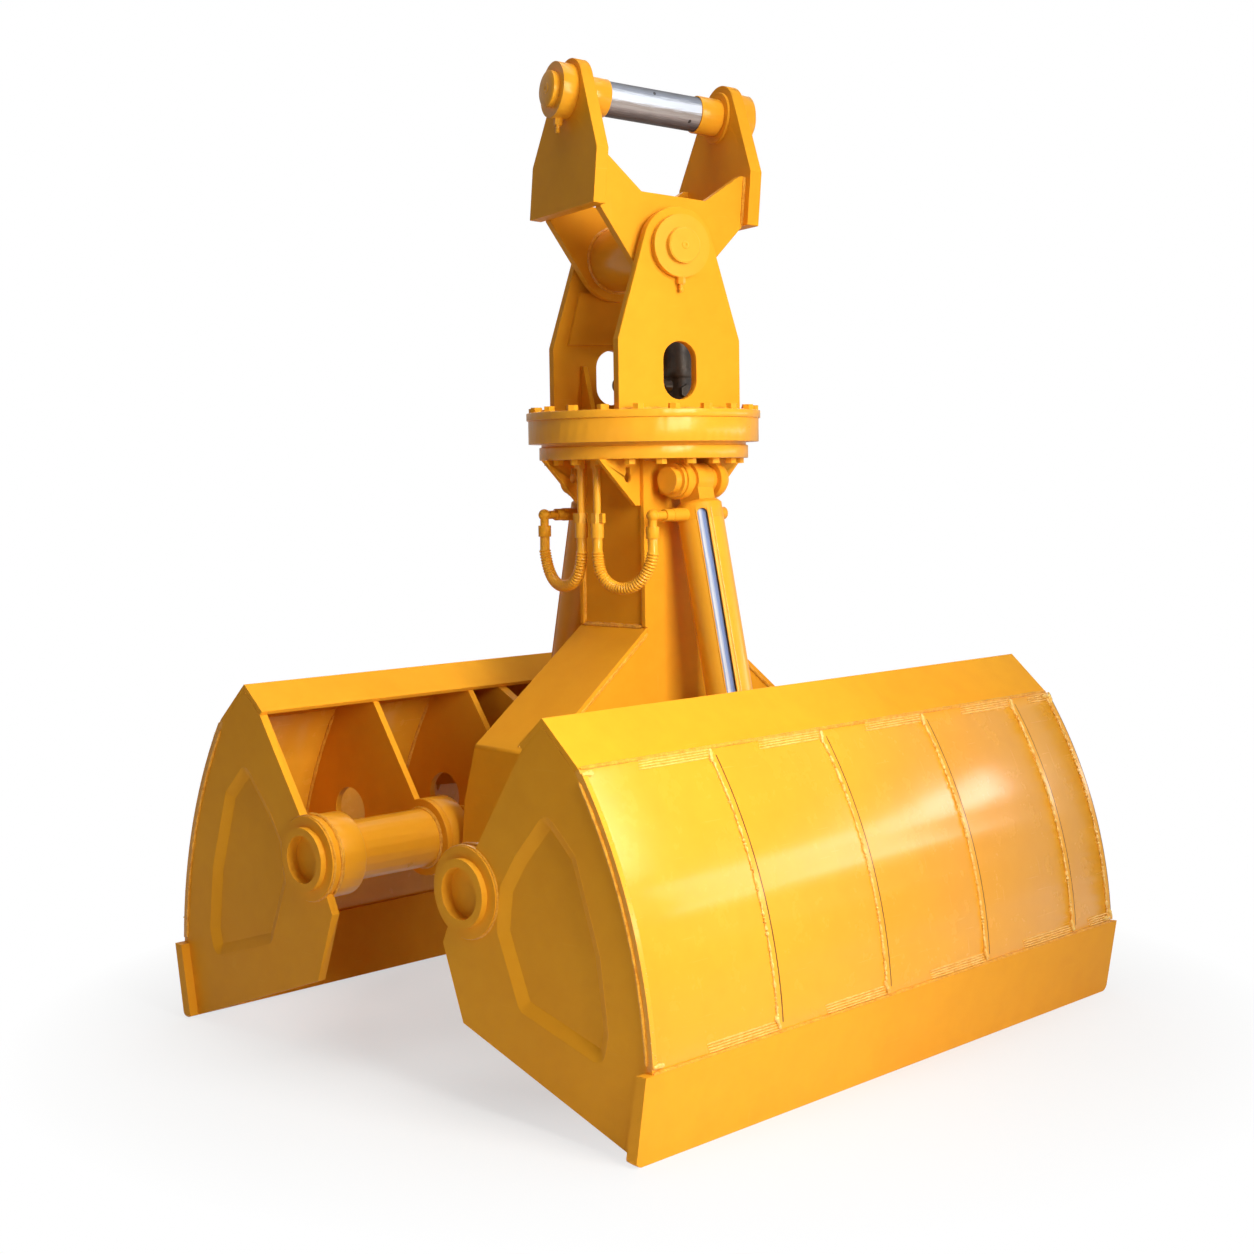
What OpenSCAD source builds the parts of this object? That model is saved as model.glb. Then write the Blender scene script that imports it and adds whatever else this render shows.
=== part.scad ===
// Hydraulic clamshell grab bucket, standing open on its two cutting edges.
// X is the opening direction, Y runs along the shell hinges and Z is up.
// The floor is Z 0 and the vertical axis of the grab is X 0, Y 0.

/* [Shells] */
// Width of a shell over its end plates
shell_w = 1600; // [1400:10:1900]
// Distance from the grab axis to a shell hinge
hinge_x = 262; // [256:1:275]
// Turn of each shell from fully open to closed
close_angle = 71; // [69:0.5:73]
// Reach of the cutting edge along the mating line, from the foot below the hinge
lip_reach = 602; // [590:1:612]
// Reach of the heel of an end plate along the mating line
heel_reach = 70; // [50:1:100]
// Gap between the two shells when they are closed
mate_gap = 1; // [0.6:0.1:3]
// Outer radius of the curved back
back_r = 1060; // [1052:1:1066]
// How far the centre of the curved back lies inboard of the hinge
back_in = 552; // [548:1:556]
// How far the centre of the curved back lies below the hinge
back_down = 313; // [308:1:318]
// Angle of the upper end of the curved back
back_top_angle = 34; // [33:0.5:35]
// Angle of the lower end of the curved back
back_low_angle = 2.5; // [1:0.5:4]
// Plate thickness of the curved back
back_t = 12; // [8:1:16]
// Height of the top ridge above the hinge
ridge_up = 368; // [362:1:374]
// Distance of the top ridge outboard of the hinge
ridge_out = 229; // [222:1:236]
// Width of the inner flat of the top beam
beam_inner_w = 88; // [70:1:100]
// Slope of the inner flat of the top beam
beam_slope = 41; // [36:1:46]
// Plate thickness of the top beam
beam_t = 12; // [8:1:16]
// Thickness of an end plate
end_t = 20; // [14:1:26]
// Depth of the pressed panel in an end plate
panel_depth = 12; // [4:1:13]
// Corner radius of the pressed panel
panel_corner = 26; // [15:1:35]
// Thickness of the cutting lip
lip_t = 25; // [18:1:30]
// How far the lip stands proud of the curved back
lip_proud = 6; // [3:1:10]
// How far the lip reaches past the end plates
lip_over = 22; // [10:1:30]
// Height of a raised seam on the curved back
seam_h = 3; // [2:0.5:5]
// Width of a raised seam
seam_w = 12; // [8:1:18]
// Radius of the lower corners of the cutting lip
lip_corner = 16; // [8:1:24]

/* [Shell ribs and hinges] */
// Thickness of an inner rib
rib_t = 16; // [10:1:20]
// Distance of the outer ribs from the middle
rib_outer_y = 472; // [460:1:500]
// Distance of the middle ribs from the middle
rib_middle_y = 177; // [150:1:220]
// Radius of the round opening in a rib
rib_hole_r = 56; // [40:1:64]
// Distance of the round opening's middle inside the curved back
rib_hole_in = 168; // [150:1:180]
// Angle of the round opening about the middle of the curved back
rib_hole_angle = 22.8; // [21:0.1:24]
// Thickness of a lug plate for the rod pin
rod_lug_t = 25; // [18:1:32]
// Radius of the round end of a rod pin lug
rod_lug_r = 60; // [52:1:66]
// Diameter of the shell hinge pins
hinge_pin_d = 60; // [50:1:70]
// Diameter of the hinge tube between end plate and outer rib
hinge_tube_d = 134; // [120:1:150]
// Bore of the hinge tube
hinge_tube_bore = 110; // [94:1:114]
// Diameter of the boss at an end plate
end_boss_d = 186; // [170:2:200]
// Length of the boss inside an end plate
end_boss_len = 66; // [40:1:90]
// Diameter of the raised ring on the outer face of a boss
end_ring_d = 140; // [124:2:156]
// Diameter of the round recess in a boss
end_recess_d = 106; // [90:2:114]
// How far the disc of a boss stands proud of the end plate
end_disc_t = 7; // [4:1:10]
// How far the raised ring stands proud of the disc
end_ring_t = 14; // [6:1:15]
// Diameter of the collar at an outer rib
rib_collar_d = 178; // [160:2:196]
// Width of the collar at an outer rib
rib_collar_w = 54; // [40:1:58]

/* [Frame] */
// Height from the shell hinges to the underside of the lower flange
frame_h = 861; // [850:1:900]
// Width of the column across its side plates
column_x = 214; // [206:1:220]
// Depth of the column along the hinges
column_y = 226; // [216:2:236]
// Thickness of the frame plates
frame_t = 12; // [8:1:14]
// Set back of the vertical covers from the plate edges
cover_back = 6; // [3:1:10]
// Height above the hinges where the legs leave the column
fork_up = 477; // [468:1:488]
// Height above the hinges where a leg cover turns down
knee_up = 216; // [208:0.5:222]
// Distance from the middle to the outer face of a leg
leg_y = 448; // [430:1:450]
// Distance from the middle to the outer face of the hinge plates
hinge_plate_y = 365; // [355:1:372]
// Half width of a leg at its knee
knee_half = 112; // [108:1:122]
// Half width of a leg at its foot
foot_half = 245; // [236:1:250]
// Inner width of a leg along the hinges
leg_box = 56; // [44:1:70]
// Diameter of a hinge boss in a leg
leg_boss_d = 92; // [84:1:100]
// End gap between a hinge boss and the shell collar
boss_gap = 5; // [2:1:8]
// Radius of the plate lobe around a hinge boss
foot_lobe_r = 58; // [54:1:64]

/* [Rotator] */
// Diameter of the top flange
top_flange_d = 548; // [540:2:570]
// Thickness of the top flange
top_flange_t = 18; // [14:1:24]
// Outer diameter of the slewing ring
slew_d = 540; // [532:2:548]
// Height of the slewing ring
slew_h = 54; // [44:1:64]
// Diameter of the race between the two rings
race_d = 480; // [470:2:486]
// Diameter of the hole through the inner ring
race_bore = 380; // [340:2:400]
// Gap between the slewing ring and the lower flange
slew_gap = 8; // [5:1:12]
// Diameter of the lower flange
lower_flange_d = 490; // [486:2:510]
// Thickness of the lower flange
lower_flange_t = 30; // [24:1:36]
// Number of bolts in each flange
bolt_count = 20; // [12:1:24]
// Shank diameter of the flange bolts
bolt_d = 16; // [12:1:18]
// Width across the corners of a bolt head
bolt_head_w = 27; // [24:1:30]
// Height of a bolt head
bolt_head_h = 12; // [8:1:14]
// Turn of the head and link about the vertical at rest
upper_turn = 18.5; // [0:0.5:25]

/* [Head and link] */
// Height of the cross pin above the top flange
cross_up = 364.6; // [350:0.1:380]
// Diameter of the cross pin
cross_pin_d = 80; // [70:1:90]
// Distance from the cross pin to the stick pin
link_h = 343; // [335:1:360]
// Lean of the link about the cross pin at rest
link_lean = 4.7; // [0:0.1:8]
// Half distance over the outer faces of the head lugs
lug_out = 183; // [179:1:190]
// Thickness of a head lug
lug_t = 25; // [20:1:28]
// Half width of a head lug
lug_half = 156; // [145:1:158]
// Radius of the round head of a lug
lug_head_r = 88; // [82:1:94]
// Width of the oval opening in a lug
lug_slot_w = 84; // [60:1:90]
// Height of the oval opening in a lug
lug_slot_h = 131; // [110:1:150]
// Height of the middle of the oval opening above the top flange
lug_slot_up = 88; // [80:1:96]
// Half distance over the outer faces of the link webs
web_out = 146; // [140:1:149]
// Thickness of a link web
web_t = 25; // [20:1:30]
// Radius of the round end of a web
web_end_r = 98; // [92:1:104]
// Outer diameter of the cross tube
cross_tube_d = 150; // [130:1:164]
// Half distance between the inner faces of the link ears
ear_in = 182; // [176:1:190]
// Thickness of a link ear
ear_t = 30; // [24:1:36]
// Half width of a link ear
ear_half = 171; // [160:1:180]
// Radius of the round head of an ear
ear_head_r = 76; // [70:1:84]
// Diameter of the stick pin
stick_pin_d = 80; // [70:1:90]
// Half length of the bright middle of the stick pin
bright_half = 118; // [90:1:140]
// Outer diameter of the sleeves on the stick pin
sleeve_d = 87; // [84:1:94]
// Outer diameter of the retaining collars on the stick pin
stick_collar_d = 126; // [114:2:138]
// Width of the retaining collars on the stick pin
stick_collar_w = 38; // [28:1:46]
// Outer diameter of the retaining collars on the cross pin
cross_collar_d = 140; // [126:2:150]
// Width of the retaining collars on the cross pin
cross_collar_w = 18; // [12:1:26]
// How far a pin stands out of its collar
pin_proud = 13; // [6:1:20]

/* [Cylinders] */
// Distance of an upper cylinder pin from the grab axis
cyl_pin_x = 160; // [156:1:168]
// Drop of an upper cylinder pin below the lower flange
cyl_pin_drop = 49; // [47:1:56]
// Diameter of the upper cylinder pins
cyl_pin_d = 60; // [50:1:62]
// Crank radius of the rod pin about the shell hinge
crank_r = 174; // [170:1:178]
// Crank angle of the rod pin with the shell open
crank_angle = 79.5; // [78:0.5:81]
// Outer diameter of the slotted guard tube
guard_d = 106; // [102:1:110]
// Wall of the guard tube
guard_wall = 6; // [4:1:8]
// Outer diameter of the bright cylinder tube
tube_d = 88; // [84:1:93]
// Bore of the cylinder tube
tube_bore = 72; // [68:1:78]
// Diameter of the piston rod
rod_d = 55; // [45:1:60]
// Width of the slot in the guard tube
slot_w = 23; // [16:1:30]
// Direction that the slot faces, about the cylinder axis
slot_angle = -42; // [-54:1:-30]
// Distance from the upper pin to the lower end of the guard
guard_end = 530; // [500:1:540]
// Length of the gland
gland_len = 34; // [26:1:40]
// Diameter of the rod pin
rod_pin_d = 60; // [50:1:64]
// Outer diameter of the rod eye
rod_eye_d = 100; // [90:1:106]

/* [Hoses] */
// Diameter over the ribs of a hose
hose_d = 28; // [26:1:32]
// Diameter between the ribs of a hose
hose_root_d = 23; // [20:1:24]
// Bore of a hose
hose_bore = 14; // [10:1:16]
// Spacing of the hose ribs
rib_pitch = 7; // [6:0.5:10]

/* [Hidden] */
$fn = 96;

// Radial clearance of every running fit
run_clear = 0.05;
// Side clearance between pieces of different moving parts
side_clear = 0.3;
// Reach of a cutting shape past the solid that it cuts
past = 60;
// How far a straight edge dips into the round end that it runs into
dip = 0.05;
// Facets of the large back cylinder
back_fn = 480;

// Plane geometry shared by the shells and plates
function unit(a) = [cos(a), sin(a)];
function angle_of(v) = atan2(v[1], v[0]);
function cross2(a, b) = a[0] * b[1] - a[1] * b[0];
function meet(p, a, q, b) = p + unit(a) * cross2(q - p, unit(b)) / cross2(unit(a), unit(b));
function touch(p, c, r, side) =
    let (q = r - dip) c + q * unit(angle_of(p - c) + side * acos(q / norm(p - c)));
function corner_arc(a, b, c, r, n) =
    let (ua = (a - b) / norm(a - b), uc = (c - b) / norm(c - b))
    let (half = acos(ua * uc) / 2, mid = (ua + uc) / norm(ua + uc), o = b + mid * r / sin(half))
    let (start = b + ua * r / tan(half) - o, finish = b + uc * r / tan(half) - o)
    let (turn = atan2(cross2(start, finish), start * finish))
    [for (i = [0 : n]) o + r * unit(angle_of(start) + turn * i / n)];
function rounded(pts, r, n = 5) =
    let (k = len(pts))
    [for (i = [0 : k - 1]) each corner_arc(pts[(i + k - 1) % k], pts[i], pts[(i + 1) % k], r, n)];

// Shell profile in the X, Z plane, right shell, open
mate_slope = 90 - close_angle;
mate_dir = unit(-mate_slope);
mate_foot_r = hinge_x - mate_gap / 2;
hinge_z = mate_foot_r * cos(mate_slope) + lip_reach * sin(mate_slope);
hinge = [hinge_x, hinge_z];
mate_foot = hinge + mate_foot_r * unit(-90 - mate_slope);
heel = mate_foot + heel_reach * mate_dir;
lip_tip = mate_foot + lip_reach * mate_dir;
back_o = hinge - [back_in, back_down];
top_dir = unit(back_top_angle);
low_dir = unit(back_low_angle);
beam_foot = back_o + back_r * top_dir;
lip_top = back_o + back_r * low_dir;
ridge = hinge + [ridge_out, ridge_up];
beam_edge = ridge - beam_inner_w * unit(beam_slope);
flat_angle = angle_of(beam_foot - ridge);
beam_edge_in = beam_edge + beam_t * unit(beam_slope - 90);
beam_foot_in = meet(beam_foot, back_top_angle, beam_foot + beam_t * unit(flat_angle - 90), flat_angle);
ridge_in = meet(beam_edge_in, beam_slope, beam_foot_in, flat_angle);
lip_top_out = lip_top + lip_proud * low_dir;
lip_top_in = lip_top - (lip_t - lip_proud) * low_dir;
lip_tip_in = lip_tip - 1.1 * lip_t * mate_dir;
throat = hinge + [-1, 45];
jaw = hinge + [-77, -114];

// Corners of the pressed panel in an end plate
end_panel = [for (p = [
    [234, 189], [314, 114], [376, -68], [396, -215], [380, -280], [151, -214], [89, -66], [101, 25], [146, 91]
]) hinge + p];

// Positions along the hinges
end_y = shell_w / 2;
rib_in_y = rib_outer_y - rib_t / 2;
rib_out_y = rib_outer_y + rib_t / 2;
collar_face = rib_in_y - rib_collar_w;
boss_face = collar_face - boss_gap;
rod_lug_in = 60;
lug_root_r = 0.8 * rod_lug_r;
rod_eye_half = 50;
rod_pin_end = 100;
seam_places = [-443, -91, 272, 630];
seam_end_angle = 0.6;
recess_depth = 4;
pin_past_leg = 10;
pin_ring_w = 8;

// Cylinder geometry
flange_low_z = hinge_z + frame_h;
cyl_pin_z = flange_low_z - cyl_pin_drop;
rod_pin = hinge + crank_r * unit(crank_angle);
cyl_run = rod_pin - [cyl_pin_x, cyl_pin_z];
cyl_len = norm(cyl_run);
cyl_lean = atan2(cyl_run[0], -cyl_run[1]);
cyl_eye_half = 26;
cyl_eye_r = 38;
cyl_neck_half = 30;
cyl_lug_in = 45;
cyl_lug_t = 20;
cyl_lug_r = 44;
cyl_lug_top = 8;
cyl_lug_foot = 30;
cyl_pin_front = 92;
cyl_pin_rear = 86;
cyl_washer_w = 9;
cap_from = 52;
cap_len = 44;
cap_roof = 12;
cap_bevel = 8;
port_r = 15;
port_gap = 1;
port_at = cap_from + cap_len - port_r - port_gap;
port_centre = [cyl_pin_x + port_at * sin(cyl_lean), cyl_pin_z - port_at * cos(cyl_lean)];
port_out = 97;
stub_out = 80;
elbow_r = 10;
elbow_bend_r = 14;
elbow_nut_len = 24;
ferrule_len = 26;
ferrule_w = 2;
piston_from = 110;
piston_len = 45;
slot_from = 9;
tube_from = cap_from + cap_roof;
guard_from = cap_from + cap_len;
guard_in_r = guard_d / 2 - guard_wall;

// Frame and head heights
slew_low_z = flange_low_z + lower_flange_t + slew_gap;
slew_top_z = slew_low_z + slew_h;
flange_top_z = slew_top_z + top_flange_t;
cross_z = flange_top_z + cross_up;
fork_z = hinge_z + fork_up;
knee_z = hinge_z + knee_up;
plate_out = column_x / 2;
plate_in = plate_out - frame_t;
column_half = column_y / 2;
cover_out = column_half - cover_back;
knee_y = leg_y - frame_t;
leg_slope = 37;
leg_angle = atan2(knee_z - fork_z + frame_t / cos(leg_slope), knee_y - cover_out);
foot_y = hinge_plate_y - frame_t;
arch_z = hinge_z + 117;
arch_bevel = 60;
crown_up = 237;
crown_z = hinge_z + crown_up;
crown_half = 170;
foot_z = hinge_z - foot_lobe_r;
foot_bevel_z = hinge_z - 28;
foot_bevel = 30;
foot_gap_half = 150;
foot_crown_half = 70;
foot_arch_z = arch_z - 40;
foot_roof_half = 205;
foot_roof_z = hinge_z + 61;
waist_half = 149;
waist_z = hinge_z + 95;
leg_low_half = 163;
leg_low_z = hinge_z - 28;
gusset_t = 12;
gusset_h = 106;
gusset_toe = 14;
gusset_edge = 3;
keyhole_at = [38, -42];
keyhole_r = 11;
keyhole_w = 12;
keyhole_h = 24;

// Flanges and slewing ring
swivel_d = 110;
swivel_foot = 26;
swivel_body_up = 24;
swivel_flange_up = 10;
swivel_flange_w = 12;
swivel_flange_h = 16;
swivel_neck_d = 76;
swivel_neck_up = 90;
swivel_nut_d = 54;
swivel_nut_h = 20;
swivel_nut_foot = 2;
oil_port_up = 62;
oil_port_d = 26;
oil_port_len = 20;
oil_port_nut_d = 36;
oil_port_nut_w = 16;
motor_at = [-82, 140];
motor_foot_d = 88;
motor_foot_t = 12;
motor_d = 72;
motor_h = 190;
motor_bevel = 12;
motor_flange_d = 86;
motor_flange_t = 20;
motor_flange_up = 86;
motor_port_d = 34;
motor_port_len = 8;
motor_port_up = 52;
lower_flange_bore = swivel_d + 60;
lower_bolt_r = lower_flange_d / 2 - 23;
top_bolt_r = top_flange_d / 2 - 18;
bolt_len = 52;
bolt_short = 2;
race_h = slew_gap + slew_h - 6;
lower_bolt_turn = 0;
top_bolt_turn = 6;

// Head lugs and link plates, measured from the cross pin
lug_base = -cross_up;
lug_shoulder = -208;
pad_t = 10;
pad_low = -200;
pad_low_half = 119;
pad_top = -76;
pad_top_half = 88;
head_boss_r = 60;
lug_rib_in = 72;
lug_rib_t = 12;
lug_rib_h = 114;
lug_rib_top = 12;
lug_rib_foot = 58;
ear_low = 73;
ear_shoulder = 196;
ear_pad_w = 19;
ear_pad_t = 6;
web_low = 70;
web_horn = 186;
web_horn_w = 12;
web_saddle = 117;
web_saddle_half = 82;
stick_pin_end_d = stick_pin_d - 1;
stick_pin_half = ear_in + ear_t + stick_collar_w + pin_proud;
nipple_d = 9;
nipple_len = 17;
nipple_nut_d = 18;
nipple_nut_len = 16;

// Steel pipes from the flange to the hoses
pipe_d = 17;
pipe_ferrule_len = 34;
pipe_nut_len = 22;
pipe_flange_nut_len = 20;
clip_w = 10;
clip_out = 22;

// Cord route of the right hose, from the pipe under the flange to the cylinder elbow
HOSE_ROUTE = [
    [26, -183, 1126], [26, -183, 1108], [26, -183, 1090], [28, -183, 1072], [33, -183, 1053],
    [43, -182, 1036], [57, -181, 1023], [75, -179, 1015], [94, -177, 1012], [113, -173, 1014],
    [131, -169, 1021], [147, -165, 1033], [160, -162, 1050], [170, -159, 1070], [176, -158, 1092],
    [176, -158, 1100], [176, -158, 1110], [176, -158, 1126]
];
hose_start = HOSE_ROUTE[0];
hose_finish = HOSE_ROUTE[len(HOSE_ROUTE) - 1];

// Extrusions of an X, Z outline along Y and of a Y, Z outline along X
module along_y(from, to) {
    translate([0, to, 0]) rotate([90, 0, 0]) linear_extrude(to - from) children();
}
module along_x(from, to) {
    translate([from, 0, 0]) rotate([90, 0, 90]) linear_extrude(to - from) children();
}
module rod_y(at, r, from, to, facets = 96) {
    translate([at[0], to, at[1]]) rotate([90, 0, 0]) cylinder(h = to - from, r = r, $fn = facets);
}
module rod_x(at, r, from, to) {
    translate([from, at[0], at[1]]) rotate([0, 90, 0]) cylinder(h = to - from, r = r);
}
module both_x() {
    children();
    mirror([1, 0, 0]) children();
}
module both_y() {
    children();
    mirror([0, 1, 0]) children();
}
module at_head() {
    translate([0, 0, cross_z]) rotate([0, 0, -upper_turn]) children();
}
module at_link() {
    at_head() rotate([-link_lean, 0, 0]) children();
}
module at_cylinder() {
    translate([cyl_pin_x, 0, cyl_pin_z]) rotate([0, -cyl_lean, 0]) children();
}
module paint() {
    color("orange") children();
}
module bright() {
    color("silver") children();
}

// Frame
module lower_flange() {
    paint() difference() {
        translate([0, 0, flange_low_z]) cylinder(h = lower_flange_t, d = lower_flange_d);
        translate([0, 0, flange_low_z - past]) cylinder(h = 2 * past + lower_flange_t, d = lower_flange_bore);
        lower_bolt_ring(flange_low_z - past, 3 * past, bolt_d);
    }
}
module slew_inner_ring() {
    paint() difference() {
        translate([0, 0, flange_low_z + lower_flange_t]) cylinder(h = race_h, d = race_d);
        translate([0, 0, flange_low_z]) cylinder(h = 4 * past, d = race_bore);
        lower_bolt_ring(flange_low_z, bolt_len, bolt_d);
    }
}
module lower_bolts() {
    paint() {
        lower_bolt_ring(flange_low_z - bolt_head_h, bolt_head_h, bolt_head_w, 6);
        lower_bolt_ring(flange_low_z, bolt_len - bolt_short, bolt_d);
    }
}
module bolt_ring(r, z, h, d, turn, sides) {
    for (i = [0 : bolt_count - 1])
        rotate([0, 0, turn + i * 360 / bolt_count])
            translate([r, 0, z]) cylinder(h = h, d = d, $fn = sides);
}
module lower_bolt_ring(z, h, d, sides = 48) {
    bolt_ring(lower_bolt_r, z, h, d, lower_bolt_turn, sides);
}
module top_bolt_ring(z, h, d, sides = 48) {
    bolt_ring(top_bolt_r, z, h, d, top_bolt_turn - upper_turn, sides);
}
module column_plates() {
    paint() both_x() along_x(plate_in, plate_out) polygon(concat(
        [[column_half, flange_low_z], [column_half, leg_out_z(cover_out)], [cover_out, leg_out_z(cover_out)]],
        [[cover_out, leg_in_z(cover_out)], [knee_y, leg_in_z(knee_y)], [knee_y, leg_low_z]],
        [[hinge_plate_y, leg_low_z], [hinge_plate_y, arch_z], [foot_y - arch_bevel, arch_z], [crown_half, crown_z]],
        [[-crown_half, crown_z], [arch_bevel - foot_y, arch_z], [-hinge_plate_y, arch_z], [-hinge_plate_y, leg_low_z]],
        [[-knee_y, leg_low_z], [-knee_y, leg_in_z(knee_y)], [-cover_out, leg_in_z(cover_out)]],
        [[-cover_out, leg_out_z(cover_out)], [-column_half, leg_out_z(cover_out)], [-column_half, flange_low_z]]
    ));
}
module column_covers() {
    paint() both_y() translate([-plate_in, cover_out - frame_t, leg_in_z(cover_out)])
        cube([2 * plate_in, frame_t, flange_low_z - leg_in_z(cover_out)]);
}
// Height of the inner and outer surface of the sloping leg cover
function leg_in_z(y) = knee_z + (y - knee_y) * tan(leg_angle);
function leg_out_z(y) = leg_in_z(y) + frame_t / cos(leg_angle);
module leg_covers() {
    paint() both_y() intersection() {
        union() {
            along_x(-knee_half, knee_half) polygon([
                [cover_out, leg_in_z(cover_out)], [cover_out, leg_out_z(cover_out)],
                [knee_y, leg_in_z(knee_y)] + frame_t * unit(leg_angle + 90), [knee_y, leg_in_z(knee_y)]
            ]);
            intersection() {
                rod_x([knee_y, knee_z], frame_t, -knee_half, knee_half);
                translate([-knee_half, knee_y, knee_z]) cube([2 * knee_half, frame_t, frame_t]);
            }
            translate([-leg_low_half, knee_y, leg_low_z]) cube([2 * leg_low_half, frame_t, knee_z - leg_low_z]);
        }
        along_y(cover_out - past, leg_y + past) leg_width_outline();
        translate([-leg_low_half, cover_out, leg_low_z])
            cube([2 * leg_low_half, leg_y - cover_out, fork_z + past - leg_low_z]);
    }
}
// Outline of a leg seen along the hinges
module leg_width_outline() {
    polygon([
        [plate_out, fork_z + past], [plate_out, leg_out_z(cover_out)], [knee_half, knee_z],
        [waist_half, waist_z], [leg_low_half, leg_low_z], [-leg_low_half, leg_low_z], [-waist_half, waist_z],
        [-knee_half, knee_z], [-plate_out, leg_out_z(cover_out)], [-plate_out, fork_z + past]
    ]);
}
// Outline of the hinge plates, seen the same way
module foot_outline() {
    polygon([
        [plate_out, arch_z], [foot_roof_half, foot_roof_z], [foot_half, foot_bevel_z], [foot_half - foot_bevel, foot_z],
        [foot_bevel - foot_half, foot_z], [-foot_half, foot_bevel_z], [-foot_roof_half, foot_roof_z], [-plate_out, arch_z]
    ]);
}
module hinge_plates() {
    box_in = foot_y - leg_box;
    paint() both_y() difference() {
        union() {
            hinge_plate(foot_y, hinge_plate_y);
            hinge_plate(box_in - frame_t, box_in);
            both_x() foot_roof(box_in, foot_y);
        }
        both_x() rod_y(hinge, leg_boss_d / 2, box_in - frame_t - 1, hinge_plate_y + 1);
    }
}
module hinge_plate(from, to) {
    difference() {
        union() {
            along_y(from, to) foot_outline();
            both_x() rod_y(hinge, foot_lobe_r, from, to);
        }
        along_y(from - 1, to + 1) polygon([
            [-foot_gap_half, foot_z - 1], [-foot_crown_half, foot_arch_z],
            [foot_crown_half, foot_arch_z], [foot_gap_half, foot_z - 1]
        ]);
    }
}
module foot_roof(from, to) {
    along_y(from, to) polygon([
        [plate_out, arch_z], [foot_roof_half, foot_roof_z],
        [foot_roof_half, foot_roof_z - frame_t], [plate_out, arch_z - frame_t]
    ]);
}
module hinge_bosses() {
    paint() both_x() both_y() difference() {
        rod_y(hinge, leg_boss_d / 2, foot_y - leg_box - frame_t, boss_face);
        rod_y(hinge, hinge_pin_d / 2 + run_clear, 0, boss_face + 1);
    }
}
module flange_gussets() {
    hole = [column_half, flange_low_z] + keyhole_at;
    paint() both_x() both_y() difference() {
        along_x(plate_in - gusset_t, plate_in) polygon([
            [cover_out, flange_low_z], [lower_flange_d / 2 - gusset_edge, flange_low_z],
            [column_half + gusset_toe, flange_low_z - gusset_h], [cover_out, flange_low_z - gusset_h]
        ]);
        rod_x(hole, keyhole_r, 0, 2 * plate_in);
        translate([0, hole[0] - keyhole_w / 2, hole[1]]) cube([2 * plate_in, keyhole_w, keyhole_h]);
    }
}
module cylinder_lugs() {
    pin = [cyl_pin_x, cyl_pin_z];
    paint() both_x() both_y() difference() {
        union() {
            rod_y(pin, cyl_lug_r, cyl_lug_in, cyl_lug_in + cyl_lug_t);
            along_y(cyl_lug_in, cyl_lug_in + cyl_lug_t) polygon([
                [plate_out, flange_low_z], [cyl_pin_x + cyl_lug_top, flange_low_z], pin + [cyl_lug_r, 0],
                pin - [0, cyl_lug_r], [plate_out, cyl_pin_z - cyl_lug_foot]
            ]);
        }
        rod_y(pin, cyl_pin_d / 2, 0, 2 * past);
    }
}
module cylinder_pins() {
    pin = [cyl_pin_x, cyl_pin_z];
    lug_face = cyl_lug_in + cyl_lug_t;
    paint() both_x() {
        rod_y(pin, cyl_pin_d / 2, -cyl_pin_front, cyl_pin_rear);
        both_y() difference() {
            rod_y(pin, cyl_pin_d / 2 + cyl_washer_w, lug_face, lug_face + cyl_washer_w);
            rod_y(pin, cyl_pin_d / 2, 0, 2 * past);
        }
    }
}
module oil_pipes() {
    paint() both_x() union() {
        translate(hose_start) cylinder(h = flange_low_z - hose_start[2], d = pipe_d);
        translate(hose_start) cylinder(h = pipe_ferrule_len, d = hose_d + ferrule_w);
        translate(hose_start + [0, 0, pipe_ferrule_len]) cylinder(h = pipe_nut_len, d = hose_d, $fn = 6);
        translate([hose_start[0], hose_start[1], flange_low_z - pipe_flange_nut_len])
            cylinder(h = pipe_flange_nut_len, d = hose_d, $fn = 6);
        translate(hose_start + [0, -clip_w / 2, pipe_ferrule_len]) cube([clip_out, clip_w, pipe_nut_len]);
    }
}

// Head
module lug_plate_outline() {
    shoulder = [lug_half, lug_shoulder];
    polygon([
        [-lug_half, lug_base], [lug_half, lug_base], shoulder, touch(shoulder, [0, 0], lug_head_r, 1),
        touch([-lug_half, lug_shoulder], [0, 0], lug_head_r, -1), [-lug_half, lug_shoulder]
    ]);
}
// A head lug on the positive side of the cross pin
module head_lug() {
    lug_in = lug_out - lug_t;
    slot_mid = lug_base + lug_slot_up;
    slot_run = (lug_slot_h - lug_slot_w) / 2;
    paint() difference() {
        union() {
            along_x(lug_in, lug_out) lug_plate_outline();
            rod_x([0, 0], lug_head_r, lug_in, lug_out);
            along_x(lug_in - pad_t, lug_in) polygon([
                [-pad_low_half, pad_low], [pad_low_half, pad_low], [pad_top_half, pad_top], [-pad_top_half, pad_top]
            ]);
            rod_x([0, 0], head_boss_r, web_out + side_clear, lug_in);
            both_y() along_y(lug_rib_in, lug_rib_in + lug_rib_t) polygon([
                [lug_in, lug_base], [lug_in, lug_base + lug_rib_h],
                [lug_in - lug_rib_top, lug_base + lug_rib_h], [lug_in - lug_rib_foot, lug_base]
            ]);
        }
        rod_x([0, 0], cross_pin_d / 2, 0, lug_out + 1);
        for (s = [-1, 1]) rod_x([0, slot_mid + s * slot_run], lug_slot_w / 2, web_out, lug_out + 1);
        translate([web_out, -lug_slot_w / 2, slot_mid - slot_run]) cube([lug_out, lug_slot_w, 2 * slot_run]);
    }
}
module head_lug_near() {
    at_head() head_lug();
}
module head_lug_far() {
    at_head() mirror([1, 0, 0]) head_lug();
}
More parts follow.
